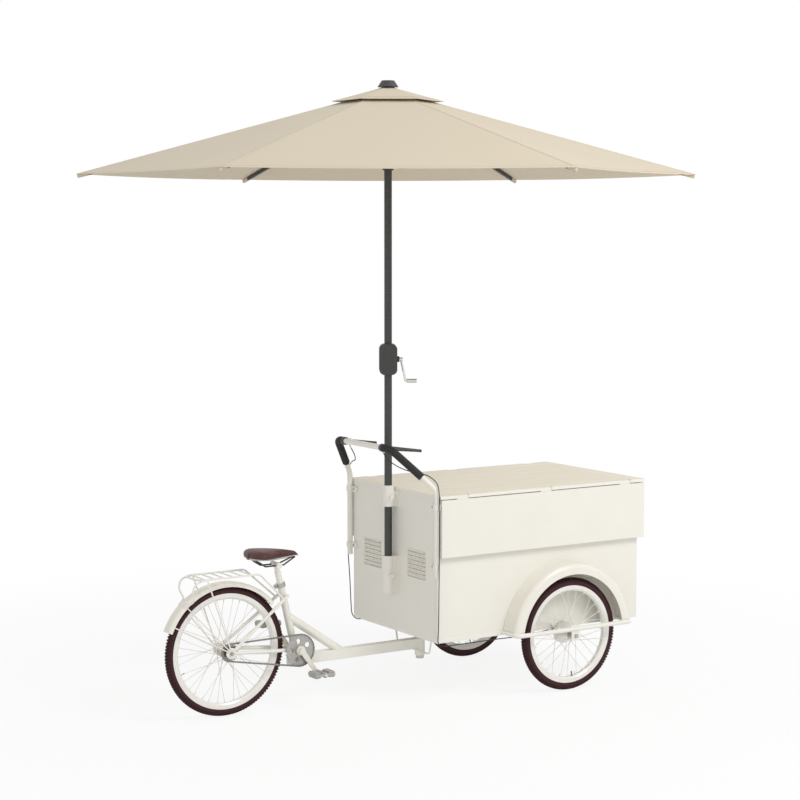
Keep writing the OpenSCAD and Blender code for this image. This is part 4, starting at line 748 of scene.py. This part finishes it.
for kind, body, spokes, valve_at, hand in WHEELS:
    tyre(kind, body)
    nipples_and_valve(kind, body, spokes, valve_at, hand)


# Handlebar: ribs round the rubber grips, and bolt heads on the clips of its uprights

BAR_CORNER = Vector((-128, 223, 1120)) * MM
BAR_TURN = Vector((19.2, 362.2, 945)) * MM
BAR_FOOT = Vector((19.2, 362.2, 568)) * MM
BAR_BEND = 60 * MM
GRIP_CROSS = 14 * MM
GRIP_RUN_SHARE = 0.72
GRIP_R = 16.5 * MM
RIB_PITCH = 5.5 * MM
RIB_PROUD = 0.6 * MM
RIB_W = 2.4 * MM
RIB_INSET = 2 * MM
CLIP_ZS = (600 * MM, 860 * MM)
CLIP_H = 24 * MM
CLIP_REACH = 30.5 * MM
CLIP_BOLT = (6, 6.5 * MM, 6 * MM, 4.5 * MM)


def grip_line():
    """Middle line of the left grip, from the crossbar round the corner and down the slanted run."""
    inner = Vector((0, -1, 0))
    down = (BAR_TURN - BAR_CORNER).normalized()
    reach = BAR_BEND * math.tan(down.angle(-inner) / 2)
    low_reach = BAR_BEND * math.tan((BAR_FOOT - BAR_TURN).angle(down) / 2)
    run = ((BAR_TURN - BAR_CORNER).length - reach - low_reach) * GRIP_RUN_SHARE
    start = BAR_CORNER + inner * (reach + GRIP_CROSS - RIB_INSET)
    stop = BAR_CORNER + down * (reach + run - RIB_INSET)
    return bent_line(start, BAR_CORNER, stop, BAR_BEND)


left_line = grip_line()
ribs = wire("grip_ribs", [left_line, [mirrored(p) for p in left_line]])
run_tree(ribs, GRIP_RIBS, Pitch=RIB_PITCH, Radius=GRIP_R + RIB_PROUD, Width=RIB_W)
dress(ribs, "cart", "black_rubber")
clip_spots = [((BAR_FOOT.x, s * (BAR_FOOT.y - CLIP_REACH), z + CLIP_H / 2), (-1, 0, 0))
              for s in (-1, 1) for z in CLIP_ZS]
dress(studs("clip_bolts", clip_spots, ZINC_STUDS, *CLIP_BOLT), "cart", "steel")


# Vents: slanted louvre blades close the slots against rain

VENT_Y = 183 * MM
VENT_HALF = 72 * MM
VENT_Z = 540 * MM
VENT_PITCH = 18.5 * MM
VENT_SLOTS = 7
BLADE_FRONT = 33.2 * MM
BLADE_BACK = 43.5 * MM
BLADE_RISE = 6.2 * MM
BLADE_T = 0.8 * MM


def louvres():
    """A thin blade in each slot, from the slot's lower outer edge up to its upper inner edge."""
    points, faces = [], []
    for y in (-VENT_Y, VENT_Y):
        for i in range(VENT_SLOTS):
            z = VENT_Z + i * VENT_PITCH - BLADE_RISE / 2
            faces += tube_faces(2, 4, len(points))
            for side in (-VENT_HALF, VENT_HALF):
                points += [(BLADE_FRONT, y + side, z), (BLADE_BACK, y + side, z + BLADE_RISE - BLADE_T),
                           (BLADE_BACK, y + side, z + BLADE_RISE), (BLADE_FRONT, y + side, z + BLADE_T)]
    made = piece("vent_louvres", points, faces, CREAM_PANEL)
    made.data.polygons.foreach_set("use_smooth", [False] * len(made.data.polygons))
    return made


dress(louvres(), "cart", "cream_panel")


# Carrier: two wires that run from the rear of the deck down to the mudguard

RACK_LOW, RACK_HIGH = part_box("rear_rack")
RACK_WIRE_R = 4 * MM
GUARD_R = 292 * MM
GUARD_HALF = 30 * MM
LOOP_ANGLE = math.radians(133)
LOOP_BACK = 22 * MM
# the wires are a hair thinner than the rails that they start in
LOOP_WIRE_R = RACK_WIRE_R * 0.98
LOOP_RUN = (90 * MM, 45 * MM)
# shares of the way back, of the rail's distance to the side, and of the fall
LOOP_TURN = ((0.3, 1.0, 0.12), (1.0, 0.92, 0.45), (0.5, 0.7, 0.8))


def rack_loops():
    """Wires with a round turn behind the deck, from its side rails to the mudguard's edges."""
    hub = centre("rear_tyre")
    deck = RACK_HIGH.z - RACK_WIRE_R
    side = RACK_HIGH.y - RACK_WIRE_R
    rear = RACK_LOW.x + RACK_WIRE_R
    foot = Vector((GUARD_R * math.cos(LOOP_ANGLE), GUARD_HALF, GUARD_R * math.sin(LOOP_ANGLE)))
    foot += Vector((hub.x, 0, hub.z))
    fall = deck - foot.z
    route = [(rear + run, side, deck) for run in LOOP_RUN]
    route += [(rear - LOOP_BACK * b, side * w, deck - fall * f) for b, w, f in LOOP_TURN]
    line = smooth_line(route + [foot], 8)
    made = wire("carrier_loops", [line, [mirrored(p) for p in line]])
    return run_tree(made, tube_tree("carrier_wire", CREAM_COAT), Radius=LOOP_WIRE_R)


dress(rack_loops(), "bicycle_frame", "cream_paint")


# Pedals: pins that hold the sole

PIN = (8, 2.4 * MM, 1.4 * MM, 2 * MM)
PIN_INSET = 8 * MM
PIN_SUNK = 0.3 * MM
PINS = 5


def pedal_pins(node, body):
    """Rows of pins on both faces of a pedal's two bars."""
    low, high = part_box(node)
    spots = []
    for x in (low.x + PIN_INSET, high.x - PIN_INSET):
        for i in range(PINS):
            y = low.y + (high.y - low.y) * (i + 0.5) / PINS
            spots += [((x, y, high.z - PIN_SUNK), (0, 0, 1)), ((x, y, low.z + PIN_SUNK), (0, 0, -1))]
    dress(studs(f"{node}_pins", spots, NYLON_STUDS, *PIN), body, "pedal")


pedal_pins("right_pedal", "right_pedal_body")
pedal_pins("left_pedal", "left_pedal_body")


# Canopy: one cloth of six gores, cut along the middle of each gore so that it folds with its ribs

RIBS = 6
FIRST_RIB = math.radians(-30)
FLAT_SHARE = math.cos(math.pi / RIBS)
RIM_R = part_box("canopy")[1].y
APEX_Z = 2.660
RIM_Z = 2.300
CLOTH_IN = 17.3 * MM / FLAT_SHARE
GORE_SAG = 12 * MM
HEM_IN = 6 * MM
CAP_R = 245 * MM
CAP_LIFT = 16 * MM
CLOTH_T = 1.4 * MM
HEM_W = 26 * MM
HEM_T = 2.2 * MM
HEM_STEP = 0.002
CLOTH_GAP = 0.2 * MM
TIP_IN = 5 * MM
TIP_DROP = 8 * MM
GORE_STEPS = 32
SEAM_FROM = 0.15
SEAM_SPAN = 0.84
SEAM_ROWS = 40
# how far each edge of the seam lies off the rib, and how high over it
SEAM = [(d * MM, h * MM) for d, h in ((-9, 1.2), (-8, 1.9), (0, 2.1), (8, 1.9), (9, 1.2))]
STITCH_OFF = 5.5 * MM
STITCH_LIFT = 2.2 * MM
STITCH_PITCH = 9 * MM
THREAD_R = 0.6 * MM
HEM_STITCH_IN = 18 * MM
# run along the rib from its tip, half width and half height
POCKET = [(-48, 5.4, 8.3), (-46, 6.2, 8.9), (-2, 6.2, 8.9), (0.6, 5.6, 8.2), (1.6, 4.0, 6.4)]


def rib_angle(k):
    """Angle of rib k round the pole."""
    return FIRST_RIB + 2 * math.pi * k / RIBS


def cloth_point(s, u, lift, reach=RIM_R, sag=GORE_SAG):
    """Place on the cloth: s from pole to rim, u round the pole in gores."""
    g = math.floor(u)
    f = u - g
    bow = 4 * f * (1 - f)
    turn = rib_angle(g)
    after = rib_angle(g + 1)
    r = CLOTH_IN + s * (reach - CLOTH_IN)
    flat = r - HEM_IN * bow * s * s
    x = flat * ((1 - f) * math.cos(turn) + f * math.cos(after))
    y = flat * ((1 - f) * math.sin(turn) + f * math.sin(after))
    fall = (APEX_Z - RIM_Z) * (r - CLOTH_IN) / (RIM_R - CLOTH_IN)
    z = APEX_Z + lift - fall - sag * bow * math.sin(math.pi * s * 0.85) * s
    return Vector((x, y, z))


def panel(name, k, reach, sag, lift, rings):
    """The cloth on both sides of rib k, from mid gore to mid gore, with a doubled hem at the rim."""
    hem = 1 - HEM_W / (reach * FLAT_SHARE)
    rows = [hem * i / rings for i in range(rings + 1)] + [hem + HEM_STEP, (1 + hem) / 2, 1.0]
    cols = [k - 0.5 + i / GORE_STEPS for i in range(GORE_STEPS + 1)]
    n, m = len(rows), len(cols)
    points, flat = [], []
    for top in (0, 1):
        for i, s in enumerate(rows):
            for u in cols:
                thick = CLOTH_T if i <= rings else HEM_T
                points.append(cloth_point(s, u, lift + (thick if top else CLOTH_GAP), reach, sag))
                flat.append(((u - k) * s * reach, s * reach))
    upper = grid_faces(n, m, False, n * m)
    under = [tuple(reversed(f)) for f in grid_faces(n, m)]
    ring = [*range(m), *range(2 * m - 1, n * m, m), *range(n * m - 2, (n - 1) * m - 1, -1),
            *range((n - 2) * m, 0, -m)]
    pairs = list(zip(ring, ring[1:] + ring[:1]))
    rim = [(a, b, b + n * m, a + n * m) for a, b in pairs]
    made = piece(name, points, upper + under + rim, CANVAS)
    mesh = made.data
    layer = mesh.uv_layers.new(name="cloth")
    for loop in mesh.loops:
        layer.data[loop.index].uv = flat[loop.vertex_index]
    border = {tuple(sorted((a + t, b + t))) for a, b in pairs for t in (0, n * m)}
    sharp = mesh.attributes.new("sharp_edge", "BOOLEAN", "EDGE")
    for edge in mesh.edges:
        if tuple(sorted(edge.vertices)) in border:
            sharp.data[edge.index].value = True
    return made


def fold_with_rib(made, k):
    """A piece of cloth turns with its rib, with a mesh of its own."""
    dress(made, f"rib_body_{k + 1}", "cloth")
    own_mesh(made)
    return made


def seam_band(k):
    """The flat seam over a rib, a ribbon that follows the cloth."""
    points = []
    for i in range(SEAM_ROWS):
        s = SEAM_FROM + SEAM_SPAN * i / (SEAM_ROWS - 1)
        r = CLOTH_IN + s * (RIM_R - CLOTH_IN)
        points += [cloth_point(s, k + d / r, h) for d, h in SEAM]
    return piece(f"canopy_seam_{k + 1}", points, grid_faces(SEAM_ROWS, len(SEAM)), CANVAS, closed=False)


def stitch_lines(k):
    """Wire lines of the sewing: two along the seam and one along the hem of a panel."""
    hem = 1 - HEM_STITCH_IN / (RIM_R * FLAT_SHARE)
    runs = [SEAM_FROM + (hem - SEAM_FROM) * i / SEAM_ROWS for i in range(SEAM_ROWS + 1)]
    lines = [[cloth_point(s, k + d / (CLOTH_IN + s * (RIM_R - CLOTH_IN)), STITCH_LIFT)
              for s in runs] for d in (-STITCH_OFF, STITCH_OFF)]
    lines.append([cloth_point(hem, k - 0.5 + i / GORE_STEPS, HEM_T + CLOTH_GAP)
                  for i in range(GORE_STEPS + 1)])
    return wire(f"canopy_stitches_{k + 1}", lines)


def rib_pocket(k):
    """The sewn pocket that holds a rib's tip under the corner of the cloth."""
    side = rib_angle(k)
    out = Vector((math.cos(side), math.sin(side), 0))
    wide = Vector((-math.sin(side), math.cos(side), 0))
    hinge = Vector(JOINTS[f"rib_{k + 1}_fold"]["pos_m"])
    tip = out * (RIM_R - TIP_IN) + Vector((0, 0, RIM_Z - TIP_DROP))
    aim = (tip - hinge).normalized()
    up = aim.cross(wide)
    up = up if up.z > 0 else -up
    points = []
    sides = 16
    for run, half, tall in POCKET:
        for c, s in circle(sides, 0.5):
            points.append(tip + aim * run * MM + wide * half * MM * math.copysign(abs(c) ** 0.5, c)
                          + up * tall * MM * math.copysign(abs(s) ** 0.5, s))
    faces = tube_faces(len(POCKET), sides)
    return piece(f"rib_pocket_{k + 1}", points, faces, CANVAS)


for k in range(RIBS):
    sheet = panel(f"canopy_panel_{k + 1}", k, RIM_R, GORE_SAG, 0, 40)
    cap = panel(f"vent_cap_{k + 1}", k, CAP_R, 0, CAP_LIFT, 8)
    sewn = run_tree(stitch_lines(k), STITCHES, Pitch=STITCH_PITCH, Thread=THREAD_R)
    band = seam_band(k)
    pocket = rib_pocket(k)
    for made in (sheet, cap, sewn, band, pocket):
        fold_with_rib(made, k)
    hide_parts("canopy")
    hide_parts("canopy")


# Saddle: a leather cover drawn over foam, on a plastic pan with a pale lip

SADDLE_LOW, SADDLE_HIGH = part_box("saddle")
SADDLE_L = SADDLE_HIGH.x - SADDLE_LOW.x
SADDLE_HALF = 86 * MM
SADDLE_H = 54 * MM
SADDLE_FALL = 0.72
PAN_ANGLE = -0.42
NOSE_SHARE = 0.17
WAIST_AT = 0.46
WAIST_POWER = 4.2
BACK_ROUND = 0.16
NOSE_ROUND = 0.1
MIDDLE_SHARE = 0.42
SKIN_POWER = 0.8
LIP_R = 1.8 * MM


def saddle_half(t):
    """Half width of the saddle, t from its back to its nose."""
    body = NOSE_SHARE + (1 - NOSE_SHARE) / (1 + (t / WAIST_AT) ** WAIST_POWER)
    back = max(0.03, 1 - (1 - min(1, t / BACK_ROUND)) ** 2)
    nose = max(0.03, 1 - max(0.0, (t - 1) / NOSE_ROUND + 1) ** 2)
    return SADDLE_HALF * body * math.sqrt(back * nose)


def saddle_top(t):
    """Height of the seat's crown: it falls to the nose and is rounded at both ends."""
    fall = SADDLE_FALL * max(0.0, t - BACK_ROUND) ** 2
    back = 0.25 * max(0.0, 1 - t / BACK_ROUND) ** 2
    nose = 0.35 * max(0.0, (t - 1) / NOSE_ROUND + 1) ** 2
    return SADDLE_HIGH.z - SADDLE_H * (fall + back + nose)


def saddle_low(t):
    """Height of the pan's lower edge, which hangs a little in the middle."""
    return SADDLE_HIGH.z - SADDLE_H * (0.78 + 0.22 * math.sin(math.pi * t))


def saddle_point(t, a, swell=0.0):
    """Point of the saddle's skin at angle a round a section."""
    w, top, low = saddle_half(t), saddle_top(t), saddle_low(t)
    mid = low + (top - low) * MIDDLE_SHARE
    c, s = math.cos(a), math.sin(a)
    y = (w + swell) * math.copysign(abs(c) ** SKIN_POWER, c) * (1 - 0.2 * s * s if s < 0 else 1)
    z = mid + (top - mid) * s ** SKIN_POWER if s > 0 else mid + (mid - low) * s
    return Vector((SADDLE_LOW.x + t * SADDLE_L, y, z))


def saddle():
    """The cover with its pan, and the line of the lip between them."""
    rings, sides = 56, 48
    ts = [0.5 - 0.5 * math.cos(math.pi * i / rings) for i in range(rings + 1)]
    points = [saddle_point(t, 2 * math.pi * (k + 0.5) / sides) for t in ts for k in range(sides)]
    made = piece("saddle_cover", points, tube_faces(rings + 1, sides), LEATHER, PAN_PLASTIC)
    first = sides * (0.5 - PAN_ANGLE / (2 * math.pi))
    last = sides * (1 + PAN_ANGLE / (2 * math.pi))
    for face in made.data.polygons:
        if all(first <= v % sides + 0.5 <= last for v in face.vertices):
            face.material_index = 1
    line = [saddle_point(t, PAN_ANGLE, 0.4 * MM) for t in ts[3:-2]]
    return made, line + [mirrored(p) for p in reversed(line)]


def piping(name, line, radius, material, sides=8):
    """A closed round cord along a loop of points."""
    points = []
    n = len(line)
    for i, p in enumerate(line):
        aim = (line[(i + 1) % n] - line[i - 1]).normalized()
        side = aim.cross(Vector((0, 0, 1))).normalized()
        up = side.cross(aim)
        points += [p + (side * c + up * s) * radius for c, s in circle(sides)]
    return piece(name, points, grid_faces(n, sides, True, ring=True), material)


cover, lip_line = saddle()
dress(cover, "seat", "leather", "saddle")
dress(piping("saddle_lip", lip_line, LIP_R, PAN_PLASTIC), "seat", "leather")


# Floor and light

FLOOR_WHITE = 0.86
FLOOR_REACH = 60
FLOOR_FADE = (1.0, 4.0)
WORLD_LEVEL = 0.6
# name, place, aim, size in metres and watts
LAMPS = (("key", (2.6, -5.4, 6.4), (0.4, 0, 0.9), 3.0, 268),
         ("fill", (-6.5, -4.5, 2.4), (0, 0, 1.0), 4.0, 50))


def white_for_camera(tree):
    """Share of rays that see the plain white ground: camera, mirror-like and see-through ones."""
    rays = add(tree, "ShaderNodeLightPath")
    seen = add(tree, "ShaderNodeMath", {0: rays.outputs["Is Camera Ray"], 1: rays.outputs["Is Glossy Ray"]},
               operation="MAXIMUM")
    return add(tree, "ShaderNodeMath", {0: seen, 1: rays.outputs["Is Transmission Ray"]},
               operation="MAXIMUM").outputs[0]


def studio():
    """A pale floor that fades into a white ground, a dim white world and two soft lamps."""
    scene = bpy.context.scene
    scene.view_settings.view_transform = "Standard"
    corners = [(x * FLOOR_REACH, y * FLOOR_REACH, 0) for x, y in ((-1, -1), (1, -1), (1, 1), (-1, 1))]
    floor = piece("floor", corners, [(0, 1, 2, 3)], closed=False)
    made, tree, shader, place = finish_of("pale_studio_floor")[:4]
    shader.inputs["Base Color"].default_value = (0.92, 0.92, 0.92, 1)
    shader.inputs["Roughness"].default_value = 0.9
    away = add(tree, "ShaderNodeVectorMath", {0: place}, operation="LENGTH")
    # the floor keeps a faint shadow near the cart and is plain white further out
    fade = add(tree, "ShaderNodeMapRange", {
        "Value": away.outputs["Value"], "From Min": FLOOR_FADE[0], "From Max": FLOOR_FADE[1],
        "To Min": FLOOR_WHITE}, interpolation_type="SMOOTHSTEP")
    share = add(tree, "ShaderNodeMath", {0: white_for_camera(tree), 1: fade}, operation="MULTIPLY")
    white = add(tree, "ShaderNodeEmission", {"Color": (1, 1, 1, 1), "Strength": 1.0})
    both = add(tree, "ShaderNodeMixShader", {0: share, 1: shader, 2: white})
    tree.links.new(both.outputs[0], tree.nodes["Material Output"].inputs["Surface"])
    floor.data.materials.append(made)
    world = bpy.data.worlds.new("studio")
    scene.world = world
    world.use_nodes = True
    tree = world.node_tree
    level = add(tree, "ShaderNodeMapRange", {"Value": white_for_camera(tree), "To Min": WORLD_LEVEL,
                                             "To Max": 1.0})
    tree.nodes["Background"].inputs["Color"].default_value = (1, 1, 1, 1)
    tree.links.new(level.outputs["Result"], tree.nodes["Background"].inputs["Strength"])
    for name, at, aim, size, watts in LAMPS:
        data = bpy.data.lights.new(name, "AREA")
        data.size = size
        data.energy = watts
        aimed(name, data, at, Vector(aim) - Vector(at))


studio()
